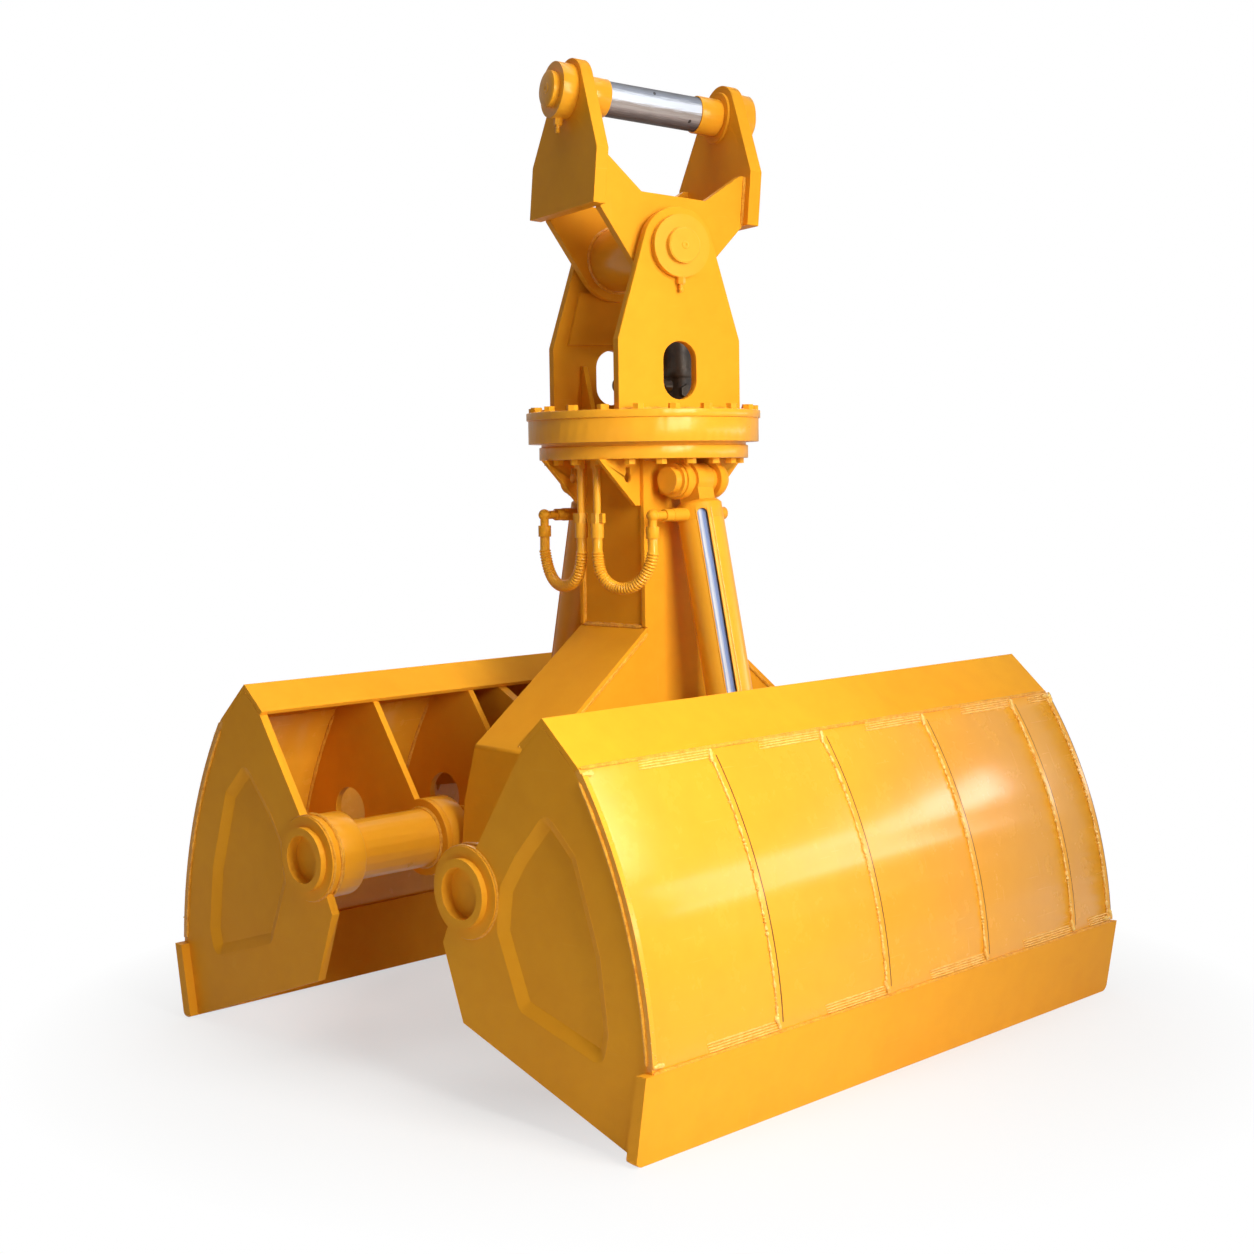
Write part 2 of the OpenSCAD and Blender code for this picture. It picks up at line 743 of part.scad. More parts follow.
module cross_pin() {
    pin_end = lug_out + cross_collar_w + pin_proud;
    paint() at_head() rod_x([0, 0], cross_pin_d / 2, -pin_end, pin_end);
}
// Grease nipple that hangs under a collar, with its foot at the origin
module nipple() {
    translate([0, 0, -nipple_nut_len]) cylinder(h = nipple_nut_len + 2, d = nipple_nut_d, $fn = 6);
    translate([0, 0, -nipple_nut_len - nipple_len + 1]) cylinder(h = nipple_len, d = nipple_d);
}
module cross_collars() {
    paint() at_head() both_x() union() {
        difference() {
            rod_x([0, 0], cross_collar_d / 2, lug_out, lug_out + cross_collar_w);
            rod_x([0, 0], cross_pin_d / 2, 0, 2 * lug_out);
        }
        translate([lug_out + cross_collar_w / 2, 0, 0.5 - cross_collar_d / 2]) nipple();
    }
}
module top_flange() {
    paint() difference() {
        translate([0, 0, slew_top_z]) cylinder(h = top_flange_t, d = top_flange_d);
        translate([0, 0, slew_top_z - 1]) cylinder(h = past, d = swivel_d);
        top_bolt_ring(slew_top_z - 1, past, bolt_d);
    }
}
module slew_outer_ring() {
    paint() difference() {
        translate([0, 0, slew_low_z]) cylinder(h = slew_h, d = slew_d);
        translate([0, 0, slew_low_z - 1]) cylinder(h = 2 * past, r = race_d / 2 + run_clear);
        top_bolt_ring(flange_top_z - bolt_len, 2 * past, bolt_d);
    }
}
module flange_bolts() {
    paint() {
        top_bolt_ring(flange_top_z, bolt_head_h, bolt_head_w, 6);
        top_bolt_ring(flange_top_z - bolt_len + bolt_short, bolt_len - bolt_short, bolt_d);
    }
}
// Motor that turns the head, seen through the opening of the near lug
module slewing_motor() {
    translate([motor_at[0], motor_at[1], flange_top_z]) union() {
        cylinder(h = motor_foot_t, d = motor_foot_d);
        cylinder(h = motor_h - motor_bevel, d = motor_d);
        translate([0, 0, motor_h - motor_bevel])
            cylinder(h = motor_bevel, d1 = motor_d, d2 = motor_d - 2 * motor_bevel);
        translate([0, 0, motor_flange_up]) cylinder(h = motor_flange_t, d = motor_flange_d);
        translate([0, 0, motor_port_up]) rotate([0, 90, 0])
            cylinder(h = motor_d / 2 + motor_port_len, d = motor_port_d, $fn = 6);
    }
}
module rotary_swivel() {
    foot_z_low = slew_low_z - swivel_foot;
    flange_foot = flange_top_z + swivel_flange_up;
    neck_top = flange_top_z + swivel_neck_up;
    port_z = flange_top_z + oil_port_up;
    nut_face = swivel_neck_d / 2 + oil_port_nut_w;
    color("dimgray") rotate([0, 0, -upper_turn]) slewing_motor();
    color("dimgray") rotate([0, 0, -upper_turn]) union() {
        translate([0, 0, foot_z_low]) cylinder(h = flange_top_z + swivel_body_up - foot_z_low, d = swivel_d);
        translate([0, 0, flange_foot]) cylinder(h = swivel_flange_h, d = swivel_d + 2 * swivel_flange_w);
        translate([0, 0, flange_foot]) cylinder(h = neck_top - flange_foot, d = swivel_neck_d);
        translate([0, 0, neck_top - swivel_nut_foot])
            cylinder(h = swivel_nut_foot + swivel_nut_h, d = swivel_nut_d, $fn = 6);
        both_y() {
            rod_y([0, port_z], oil_port_nut_d / 2, swivel_neck_d / 4, nut_face, 6);
            rod_y([0, port_z], oil_port_d / 2, swivel_neck_d / 4, nut_face + oil_port_len);
        }
    }
}

// Link
module ear_plate() {
    shoulder = [ear_half, ear_shoulder];
    head_at = [0, link_h];
    difference() {
        union() {
            along_y(ear_in, ear_in + ear_t) polygon([
                [-ear_half, ear_low], [ear_half, ear_low], shoulder, touch(shoulder, head_at, ear_head_r, 1),
                touch([-ear_half, ear_shoulder], head_at, ear_head_r, -1), [-ear_half, ear_shoulder]
            ]);
            rod_y(head_at, ear_head_r, ear_in, ear_in + ear_t);
            rod_y(head_at, stick_pin_d / 2 + ear_pad_w, ear_in - ear_pad_t, ear_in);
        }
        rod_y(head_at, stick_pin_end_d / 2, 0, 2 * ear_in);
    }
}
module link_ear_right() {
    paint() at_link() ear_plate();
}
module link_ear_left() {
    paint() at_link() mirror([0, 1, 0]) ear_plate();
}
module web_plate() {
    low = [ear_in, web_low];
    horn = ear_in - web_horn_w;
    difference() {
        union() {
            along_x(web_out - web_t, web_out) polygon([
                [-ear_in, web_horn], [-horn, web_horn], [-web_saddle_half, web_saddle],
                [web_saddle_half, web_saddle], [horn, web_horn], [ear_in, web_horn],
                low, touch(low, [0, 0], web_end_r, -1), touch([-ear_in, web_low], [0, 0], web_end_r, 1),
                [-ear_in, web_low]
            ]);
            rod_x([0, 0], web_end_r, web_out - web_t, web_out);
        }
        rod_x([0, 0], cross_pin_d / 2 + run_clear, 0, web_out + 1);
    }
}
module link_web_near() {
    paint() at_link() web_plate();
}
module link_web_far() {
    paint() at_link() mirror([1, 0, 0]) web_plate();
}
module link_tube() {
    tube_half = web_out - web_t;
    paint() at_link() difference() {
        rod_x([0, 0], cross_tube_d / 2, -tube_half, tube_half);
        rod_x([0, 0], cross_pin_d / 2 + run_clear, -tube_half - 1, tube_half + 1);
    }
}
module stick_pin() {
    bright() at_link() union() {
        rod_y([0, link_h], stick_pin_d / 2, -bright_half, bright_half);
        rod_y([0, link_h], stick_pin_end_d / 2, -stick_pin_half, stick_pin_half);
    }
}
module stick_collars() {
    collar_from = ear_in + ear_t;
    paint() at_link() both_y() union() {
        difference() {
            rod_y([0, link_h], stick_collar_d / 2, collar_from, collar_from + stick_collar_w);
            rod_y([0, link_h], stick_pin_end_d / 2, 0, 2 * collar_from);
        }
        translate([0, collar_from + stick_collar_w / 2, link_h + 0.5 - stick_collar_d / 2]) nipple();
    }
}
module stick_sleeves() {
    paint() at_link() both_y() difference() {
        rod_y([0, link_h], sleeve_d / 2, bright_half, ear_in - ear_pad_t);
        rod_y([0, link_h], stick_pin_end_d / 2, 0, ear_in);
    }
}

// Right shell, open; the left shell is its mirror image
module shell_back() {
    paint() intersection() {
        difference() {
            rod_y(back_o, back_r, -end_y, end_y, back_fn);
            rod_y(back_o, back_r - back_t, -end_y - 1, end_y + 1, back_fn);
        }
        along_y(-end_y, end_y) back_wedge(back_low_angle, back_top_angle);
    }
}
// Wedge of the curved back between two angles
module back_wedge(low, top) {
    polygon([
        back_o, back_o + 1.2 * back_r * unit(low),
        back_o + 1.3 * back_r * unit((low + top) / 2), back_o + 1.2 * back_r * unit(top)
    ]);
}
// Outline of the inside of a shell above the mating line
module shell_inside_outline() {
    polygon([
        beam_edge_in, ridge_in, beam_foot_in, beam_foot + past * top_dir, lip_top + past * low_dir,
        lip_top_in, lip_tip_in, heel, jaw, throat
    ]);
}
module shell_end() {
    difference() {
        union() {
            intersection() {
                along_y(end_y - end_t, end_y) shell_inside_outline();
                rod_y(back_o, back_r - back_t, end_y - end_t, end_y, back_fn);
            }
            rod_y(hinge, end_boss_d / 2, end_y - end_t, end_y + end_disc_t);
            rod_y(hinge, end_ring_d / 2, end_y, end_y + end_disc_t + end_ring_t);
        }
        rod_y(hinge, end_recess_d / 2, end_y - recess_depth, end_y + past);
        along_y(end_y - panel_depth, end_y + 1) polygon(rounded(end_panel, panel_corner));
    }
}
module shell_end_front() {
    paint() mirror([0, 1, 0]) shell_end();
}
module shell_end_rear() {
    paint() shell_end();
}
module shell_ribs() {
    rib_hole = back_o + (back_r - rib_hole_in) * unit(rib_hole_angle);
    paint() both_y() {
        difference() {
            union() {
                rib_plate(rib_in_y, rib_out_y, 9, [hinge + [60, -80], hinge + [-20, -60], throat]);
                rod_y(hinge, rib_collar_d / 2, rib_in_y, rib_out_y);
            }
            rod_y(hinge, hinge_tube_d / 2, rib_in_y - 1, rib_out_y + 1);
            rod_y(rib_hole, rib_hole_r, rib_in_y - 1, rib_out_y + 1);
        }
        difference() {
            rib_plate(rib_middle_y - rib_t / 2, rib_middle_y + rib_t / 2, 9,
                [hinge + [60, -80], hinge + [30, -30], hinge + [34, 105]]);
            rod_y(rib_hole, rib_hole_r, 0, rib_in_y);
        }
        difference() {
            union() {
                rib_plate(rod_lug_in, rod_lug_in + rod_lug_t, 17,
                    [hinge + [150, 70], rod_pin + lug_root_r * unit(-75), rod_pin + lug_root_r * unit(122)]);
                rod_y(rod_pin, rod_lug_r, rod_lug_in, rod_lug_in + rod_lug_t);
            }
            rod_y(rod_pin, rod_pin_d / 2, 0, rib_in_y);
        }
    }
}
// A rib from the top beam round the curved back to an angle, closed by inner corners
module rib_plate(from, to, low_angle, inner) {
    intersection() {
        along_y(from, to) polygon(concat(
            [beam_edge_in, ridge_in, beam_foot_in, beam_foot + past * top_dir],
            [back_o + (back_r + past) * unit(low_angle)], inner
        ));
        rod_y(back_o, back_r - back_t, from, to, back_fn);
    }
}
module shell_beam() {
    paint() along_y(-end_y, end_y)
        polygon([beam_edge, ridge, beam_foot, beam_foot_in, ridge_in, beam_edge_in]);
}
module shell_lip() {
    lip_end = end_y + lip_over;
    paint() difference() {
        along_y(-lip_end, lip_end) polygon([lip_top_out, lip_tip, lip_tip_in, lip_top_in]);
        both_y() difference() {
            translate([0, lip_end - lip_corner, lip_corner - past]) cube([back_r, past, past]);
            rod_x([lip_end - lip_corner, lip_corner], lip_corner, -1, back_r + 1);
        }
    }
}
module hinge_tubes() {
    paint() both_y() union() {
        difference() {
            union() {
                rod_y(hinge, end_boss_d / 2, end_y - end_t - end_boss_len, end_y - end_t);
                rod_y(hinge, hinge_tube_d / 2, rib_in_y, end_y - end_t);
                rod_y(hinge, rib_collar_d / 2, collar_face, rib_in_y);
            }
            rod_y(hinge, hinge_tube_bore / 2, rib_in_y, end_y);
            rod_y(hinge, hinge_pin_d / 2, 0, end_y);
        }
    }
}
module shell_pins() {
    paint() both_y() {
        rod_y(hinge, hinge_pin_d / 2, foot_y - leg_box - frame_t - pin_past_leg, rib_in_y);
        rod_y(rod_pin, rod_pin_d / 2, rod_lug_in, rod_pin_end);
        rod_y(rod_pin, rod_pin_d / 2 + pin_ring_w, rod_lug_in + rod_lug_t, rod_lug_in + rod_lug_t + pin_ring_w);
    }
}
module shell_seams() {
    paint() {
        for (y = seam_places) seam(y, seam_w);
        both_y() seam(end_y - seam_w, seam_w);
    }
}
module seam(y, w) {
    intersection() {
        difference() {
            rod_y(back_o, back_r + seam_h, y, y + w, back_fn);
            rod_y(back_o, back_r, y - 1, y + w + 1, back_fn);
        }
        along_y(y, y + w) back_wedge(back_low_angle + seam_end_angle, back_top_angle - seam_end_angle);
    }
}

// Right cylinder, drawn in; its axis runs down from the upper pin
module cyl_head() {
    elbow = [port_centre[0], hose_finish[1], port_centre[1]];
    paint() union() {
        difference() {
            union() {
                at_cylinder() {
                    rod_y([0, 0], cyl_eye_r, -cyl_eye_half, cyl_eye_half);
                    translate([-cyl_neck_half, -cyl_eye_half, -cap_from - 1])
                        cube([2 * cyl_neck_half, 2 * cyl_eye_half, cap_from + 1]);
                    translate([0, 0, -cap_from - cap_len]) cylinder(h = cap_len - cap_bevel, d = guard_d);
                    translate([0, 0, -cap_from - cap_bevel])
                        cylinder(h = cap_bevel, d1 = guard_d, d2 = guard_d - 2 * cap_bevel);
                }
                rod_y(port_centre, port_r, -port_out, stub_out);
            }
            at_cylinder() {
                rod_y([0, 0], cyl_pin_d / 2 + run_clear, -past, past);
                translate([0, 0, -guard_from - past])
                    cylinder(h = guard_from + past - tube_from, r = guard_in_r);
                guard_slot();
            }
        }
        rod_y(port_centre, elbow_r, elbow[1], -port_out + 2);
        rod_y(port_centre, elbow_bend_r, -port_out - elbow_nut_len, -port_out);
        translate(elbow) sphere(r = elbow_bend_r);
        translate(hose_finish) cylinder(h = elbow[2] - hose_finish[2], r = elbow_r);
        translate(hose_finish) cylinder(h = ferrule_len, d = hose_d + ferrule_w);
    }
}
// Slot down the guard tube, which starts in the skirt of the cylinder head
module guard_slot() {
    round_at = tube_from + slot_from + slot_w / 2;
    rotate([0, 0, slot_angle]) {
        translate([0, -slot_w / 2, -guard_end - 1]) cube([guard_d, slot_w, guard_end + 1 - round_at]);
        translate([0, 0, -round_at]) rotate([0, 90, 0]) cylinder(h = guard_d, d = slot_w);
    }
}
module cyl_guard() {
    paint() at_cylinder() difference() {
        translate([0, 0, -guard_end]) cylinder(h = guard_end - guard_from, d = guard_d);
        translate([0, 0, -guard_end - 1]) cylinder(h = guard_end, r = guard_in_r);
        guard_slot();
    }
}
module cyl_tube() {
    bright() at_cylinder() difference() {
        translate([0, 0, -guard_end]) cylinder(h = guard_end - tube_from, d = tube_d);
        translate([0, 0, -guard_end - 1]) cylinder(h = guard_end, d = tube_bore);
    }
}
module cyl_gland() {
    paint() at_cylinder() difference() {
        translate([0, 0, -guard_end - gland_len]) cylinder(h = gland_len, d = guard_d);
        translate([0, 0, -guard_end - gland_len - 1]) cylinder(h = gland_len + 2, r = rod_d / 2 + run_clear);
    }
}
module cyl_rod() {
    bright() difference() {
        union() {
            at_cylinder() {
                translate([0, 0, -cyl_len]) cylinder(h = cyl_len - piston_from, d = rod_d);
                translate([0, 0, -piston_from - piston_len])
                    cylinder(h = piston_len, r = tube_bore / 2 - run_clear);
            }
            rod_y(rod_pin, rod_eye_d / 2, -rod_eye_half, rod_eye_half);
        }
        rod_y(rod_pin, rod_pin_d / 2, -past, past);
    }
}
module rod_pin_core() {
    core_half = rod_lug_in - side_clear;
    bright() rod_y(rod_pin, rod_pin_d / 2, -core_half, core_half);
}

// Ribbed hose with a bore, swept along its route
function seg_len(p, i) = norm(p[i + 1] - p[i]);
function route_len(p, i = 0) = i >= len(p) - 1 ? 0 : seg_len(p, i) + route_len(p, i + 1);
function smooth_at(p, i, t) =
    let (n = len(p) - 1, a = p[max(i - 1, 0)], b = p[i], c = p[min(i + 1, n)], d = p[min(i + 2, n)])
    0.5 * (2 * b + (c - a) * t + (2 * a - 5 * b + 4 * c - d) * t * t + (3 * b - a - 3 * c + d) * t * t * t);
function along(p, s, i = 0) =
    i >= len(p) - 2 || s <= seg_len(p, i)
        ? smooth_at(p, i, min(1, s / seg_len(p, i)))
        : along(p, s - seg_len(p, i), i + 1);
function ring(c, d, r, sides) =
    let (n = d / norm(d), u = cross(n, [0, 1, 0]) / norm(cross(n, [0, 1, 0])), v = cross(n, u))
    [for (k = [0 : sides - 1]) c + r * (cos(360 * k / sides) * u + sin(360 * k / sides) * v)];
function tangent_at(p, s, l) = along(p, min(s + 1, l)) - along(p, max(s - 1, 0));
module ribbed_hose(p) {
    sides = 8;
    l = route_len(p);
    ribs = floor((l - 2 * hose_d) / rib_pitch);
    first = (l - ribs * rib_pitch) / 2;
    outer = concat(
        [[0, hose_root_d]],
        [for (i = [0 : ribs - 1]) each [
            [first + i * rib_pitch, hose_root_d], [first + (i + 0.5) * rib_pitch, hose_d]
        ]],
        [[first + ribs * rib_pitch, hose_root_d], [l, hose_root_d]]
    );
    bore_n = 24;
    inner = [for (i = [0 : bore_n]) [l * (bore_n - i) / bore_n, hose_bore]];
    stations = concat(outer, inner);
    pts = [for (q = stations) each ring(along(p, q[0]), tangent_at(p, q[0], l), q[1] / 2, sides)];
    m = len(stations);
    faces = [for (i = [0 : m - 1], k = [0 : sides - 1])
        let (a = i * sides + k, b = i * sides + (k + 1) % sides)
        let (c = ((i + 1) % m) * sides + (k + 1) % sides, d = ((i + 1) % m) * sides + k)
        each [[a, b, c], [a, c, d]]];
    polyhedron(points = pts, faces = faces, convexity = 6);
}
module hose_right() {
    color("goldenrod") ribbed_hose(HOSE_ROUTE);
}
module hose_left() {
    color("goldenrod") mirror([1, 0, 0]) ribbed_hose(HOSE_ROUTE);
}

lower_flange();
slew_inner_ring();
lower_bolts();
column_plates();
column_covers();
leg_covers();
hinge_plates();
hinge_bosses();
flange_gussets();
cylinder_lugs();
cylinder_pins();
oil_pipes();
head_lug_near();
head_lug_far();
cross_pin();
cross_collars();
top_flange();
slew_outer_ring();
flange_bolts();
rotary_swivel();
link_ear_left();
link_ear_right();
link_web_near();
link_web_far();
link_tube();
stick_pin();
stick_collars();
stick_sleeves();
shell_back();  // shell_back_right
shell_end_front();  // shell_end_front_right
shell_end_rear();  // shell_end_rear_right
shell_ribs();  // shell_ribs_right
shell_beam();  // shell_beam_right
shell_lip();  // shell_lip_right
hinge_tubes();  // hinge_tubes_right
shell_pins();  // shell_pins_right
shell_seams();  // shell_seams_right
mirror([1, 0, 0]) shell_back();  // shell_back_left
mirror([1, 0, 0]) shell_end_front();  // shell_end_front_left
mirror([1, 0, 0]) shell_end_rear();  // shell_end_rear_left
mirror([1, 0, 0]) shell_ribs();  // shell_ribs_left
mirror([1, 0, 0]) shell_beam();  // shell_beam_left
mirror([1, 0, 0]) shell_lip();  // shell_lip_left
mirror([1, 0, 0]) hinge_tubes();  // hinge_tubes_left
mirror([1, 0, 0]) shell_pins();  // shell_pins_left
mirror([1, 0, 0]) shell_seams();  // shell_seams_left
cyl_head();  // cyl_head_right
cyl_guard();  // cyl_guard_right
cyl_tube();  // cyl_tube_right
cyl_gland();  // cyl_gland_right
cyl_rod();  // cyl_rod_right
rod_pin_core();  // rod_pin_core_right
mirror([1, 0, 0]) cyl_head();  // cyl_head_left
mirror([1, 0, 0]) cyl_guard();  // cyl_guard_left
mirror([1, 0, 0]) cyl_tube();  // cyl_tube_left
mirror([1, 0, 0]) cyl_gland();  // cyl_gland_left
mirror([1, 0, 0]) cyl_rod();  // cyl_rod_left
mirror([1, 0, 0]) rod_pin_core();  // rod_pin_core_left
hose_right();
hose_left();
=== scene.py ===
"""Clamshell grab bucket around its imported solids: paint, welds, hoses, fittings, light and camera."""
import math
import random

import bmesh
import bpy
from mathutils import Matrix, Vector


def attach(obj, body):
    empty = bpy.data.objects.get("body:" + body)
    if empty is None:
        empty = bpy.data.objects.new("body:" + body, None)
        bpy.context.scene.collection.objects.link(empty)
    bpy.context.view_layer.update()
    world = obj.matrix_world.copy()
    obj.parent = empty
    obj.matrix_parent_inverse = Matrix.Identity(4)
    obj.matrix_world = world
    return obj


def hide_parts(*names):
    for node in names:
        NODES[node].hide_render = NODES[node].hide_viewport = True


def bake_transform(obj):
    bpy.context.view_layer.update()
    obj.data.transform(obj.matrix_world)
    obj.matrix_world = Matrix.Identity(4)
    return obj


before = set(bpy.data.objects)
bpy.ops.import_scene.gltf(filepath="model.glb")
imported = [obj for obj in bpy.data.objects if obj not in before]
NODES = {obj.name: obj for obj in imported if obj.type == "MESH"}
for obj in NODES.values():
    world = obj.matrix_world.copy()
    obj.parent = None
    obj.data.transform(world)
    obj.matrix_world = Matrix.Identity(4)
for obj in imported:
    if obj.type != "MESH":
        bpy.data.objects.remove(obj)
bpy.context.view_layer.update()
MM = 0.001
SIDES = (("right", 1), ("left", -1))
# Sizes are in millimetres and degrees unless a comment says otherwise.
# A weld's middle line lies this far outside the face under it
SKIN = 0.5

# Shells: hinge pin, curved back, end plates, seams and ribs
HINGE_X = 262.0
CLOSE_ANGLE = 71.0
LIP_REACH = 602.0
MATE_SLOPE = 90.0 - CLOSE_ANGLE
FOOT_R = HINGE_X - 0.5
HINGE_Z = FOOT_R * math.cos(math.radians(MATE_SLOPE)) + LIP_REACH * math.sin(math.radians(MATE_SLOPE))
BACK_R, BACK_T = 1060.0, 12.0
BACK_X, BACK_Z = HINGE_X - 552.0, HINGE_Z - 313.0
BACK_TOP, BACK_LOW = 34.0, 2.5
END_Y, END_T = 800.0, 20.0
SEAMS = (-443.0, -91.0, 272.0, 630.0)
SEAM_W, SEAM_H = 12.0, 3.0
RIB_OUTER, RIB_MIDDLE, RIB_HALF = 472.0, 177.0, 8.0
LUG_IN, LUG_T = 60.0, 25.0
BOSS_R, TUBE_R, TUBE_STEP = 93.0, 67.0, 66.0
PANEL = [
    (234, 189), (314, 114), (376, -68), (396, -215), (380, -280),
    (151, -214), (89, -66), (101, 25), (146, 91),
]
PANEL_CORNER, PANEL_DEPTH, PANEL_SLOPE_W = 26.0, 12.0, 23.0

# Ridged welds at both ends of each seam, the painted shadow line beside it and the grains of spatter
RIDGE_PITCH, RIDGE_ROWS, RIDGE_R, RIDGE_SHARE = 0.3, 4, 2.1, 0.58
SHADE_OFF = 4.2
SHADE_SECTION = [(1.6, 0.4), (-1.6, 0.4), (-1.6, -0.8), (1.6, -0.8)]
GRAINS, GRAIN_R = 70, (0.7, 1.9)

# Frame: column, legs and hinge plates
FLANGE_LOW = HINGE_Z + 861.0
PLATE_OUT, PLATE_IN, COVER_Y, COLUMN_Y = 107.0, 95.0, 107.0, 113.0
KNEE_Y, FRAME_T = 436.0, 12.0
KNEE_Z, FORK_Z = HINGE_Z + 216.0, HINGE_Z + 477.0
KNEE_HALF, WAIST_HALF, WAIST_Z = 112.0, 149.0, HINGE_Z + 95.0
HINGE_PLATE_Y, HINGE_WELD_R = 365.0, 46.5
KNEE_BEAD_X, KNEE_BEAD_GAP, KNEE_BEAD_FROM, KNEE_BEAD_TO = 26.0, 13.0, 394.0, 438.0
LEG_SLOPE = 37.0
LEG_TAN = (KNEE_Z - FORK_Z + FRAME_T / math.cos(math.radians(LEG_SLOPE))) / (KNEE_Y - COVER_Y)

# Head and link, each in its own frame with the cross pin at the origin
SLEW_LOW = FLANGE_LOW + 38.0
FLANGE_TOP = SLEW_LOW + 54.0 + 18.0
CROSS_UP = 364.6
CROSS_Z = FLANGE_TOP + CROSS_UP
UPPER_TURN, LINK_LEAN = 18.5, 4.7
HEAD_LUG_OUT, HEAD_LUG_IN, HEAD_LUG_HALF, HEAD_SLOT_HALF = 183.0, 158.0, 152.0, 86.0
WEB_OUT, WEB_IN, EAR_IN, LINK_TUBE_R = 146.0, 121.0, 182.0, 75.0
EAR_WELD_LOW, EAR_WELD_HIGH = 74.0, 184.0
LINK_H = 343.0
STICK_PIN_FACE, STICK_PIN_END, PIN_R = 250.0, 263.0, 39.5
CROSS_PIN_END = 214.0
CROSS_NIPPLE_X, CROSS_NIPPLE_Z, STICK_NIPPLE_Y, STICK_NIPPLE_Z = 192.0, -69.5, 231.0, 280.5
NIPPLE_NUT = [(0.0, 1.0), (10.4, 1.0), (10.4, -13.5), (9.2, -15.0), (4.0, -15.2)]
NIPPLE_HEAD = [
    (5.0, -14.5), (5.0, -22.0), (3.6, -23.5), (5.6, -26.0), (5.8, -29.0), (4.2, -32.4), (0.0, -33.4),
]

# Cylinders: upper pin, rod pin when open, guard tube and its slot
PIN_X, PIN_Z = 160.0, FLANGE_LOW - 49.0
ROD_PIN_ANGLE, ROD_PIN_R = 79.5, 174.0
GUARD_R, GUARD_END = 53.0, 530.0
SLOT_ANGLE, SLOT_HALF_ANGLE, SLOT_TOP, SLOT_LIP = -42.0, 12.5, 74.0, 1.6
FOLD_ANGLE, FOLD_R = 24.0, 1.7

# Hoses, from the pipe under the flange to the elbow of the cylinder
HOSE_ROUTE = [
    (26, -183, 1126), (26, -183, 1108), (26, -183, 1090), (28, -183, 1072), (33, -183, 1053),
    (43, -182, 1036), (57, -181, 1023), (75, -179, 1015), (94, -177, 1012), (113, -173, 1014),
    (131, -169, 1021), (147, -165, 1033), (160, -162, 1050), (170, -159, 1070), (176, -158, 1092),
    (176, -158, 1100), (176, -158, 1110), (176, -158, 1126),
]
HOSE_D, HOSE_ROOT_D, HOSE_RIB_PITCH = 28.0, 23.0, 7.0
HOSE_RIB_SWELL = {0.2: 0.55, 0.35: 0.92, 0.5: 1.0, 0.65: 0.92, 0.8: 0.55}

# Camera: place in metres, angles in degrees, and the lens as a distance in pixels of the photo
CAMERA_AT = (3.1649, -3.2887, 1.272)
CAMERA_AZIMUTH, CAMERA_DOWN, CAMERA_ROLL = 44.47, 4.54, -0.85
FOCAL_PIXELS, PHOTO_W, SENSOR_W = 1934.4, 1254, 36.0


def leg_in_z(y):
    """Height of the under side of the sloping leg cover."""
    return KNEE_Z + (y - KNEE_Y) * LEG_TAN


def leg_out_z(y):
    """Height of the outer side of the sloping leg cover."""
    return leg_in_z(y) + FRAME_T / math.cos(math.atan(LEG_TAN))


def polar(angle, r=1.0):
    """The two coordinates of a point at an angle and radius."""
    return r * math.cos(math.radians(angle)), r * math.sin(math.radians(angle))


def back_point(angle, r, y):
    """A point at an angle and radius about the centre of the curved back."""
    dx, dz = polar(angle, r)
    return Vector((BACK_X + dx, y, BACK_Z + dz))


def back_run(low, high, steps, proud, y):
    """Points along the outside of the back between two angles."""
    return [back_point(low + (high - low) * i / steps, BACK_R + proud, y) for i in range(steps + 1)]


HEAD = Matrix.Translation((0, 0, CROSS_Z)) @ Matrix.Rotation(math.radians(-UPPER_TURN), 4, "Z")
LINK = HEAD @ Matrix.Rotation(math.radians(-LINK_LEAN), 4, "X")
ROD_PIN = (HINGE_X + polar(ROD_PIN_ANGLE, ROD_PIN_R)[0], HINGE_Z + polar(ROD_PIN_ANGLE, ROD_PIN_R)[1])
CYL_LEAN = math.atan2(ROD_PIN[0] - PIN_X, PIN_Z - ROD_PIN[1])
CYLINDER = Matrix.Translation((PIN_X, 0, PIN_Z)) @ Matrix.Rotation(-CYL_LEAN, 4, "Y")


def aim_camera():
    """Gives the camera the place, direction and lens that were fitted to the photo."""
    cam = bpy.data.objects.new("camera", bpy.data.cameras.new("camera"))
    bpy.context.scene.collection.objects.link(cam)
    azimuth, down, roll = math.radians(CAMERA_AZIMUTH), math.radians(CAMERA_DOWN), math.radians(CAMERA_ROLL)
    level_right = Vector((math.cos(azimuth), math.sin(azimuth), 0))
    sideways, forward = -math.sin(azimuth), math.cos(azimuth)
    ahead = Vector((sideways * math.cos(down), forward * math.cos(down), -math.sin(down)))
    level_up = level_right.cross(ahead)
    right = math.cos(roll) * level_right + math.sin(roll) * level_up
    up = -math.sin(roll) * level_right + math.cos(roll) * level_up
    turn = Matrix((right, up, -ahead)).transposed().to_4x4()
    cam.matrix_world = Matrix.Translation(CAMERA_AT) @ turn
    cam.data.sensor_width = SENSOR_W
    cam.data.lens = FOCAL_PIXELS / PHOTO_W * SENSOR_W
    cam.data.clip_end = 100
    bpy.context.scene.camera = cam


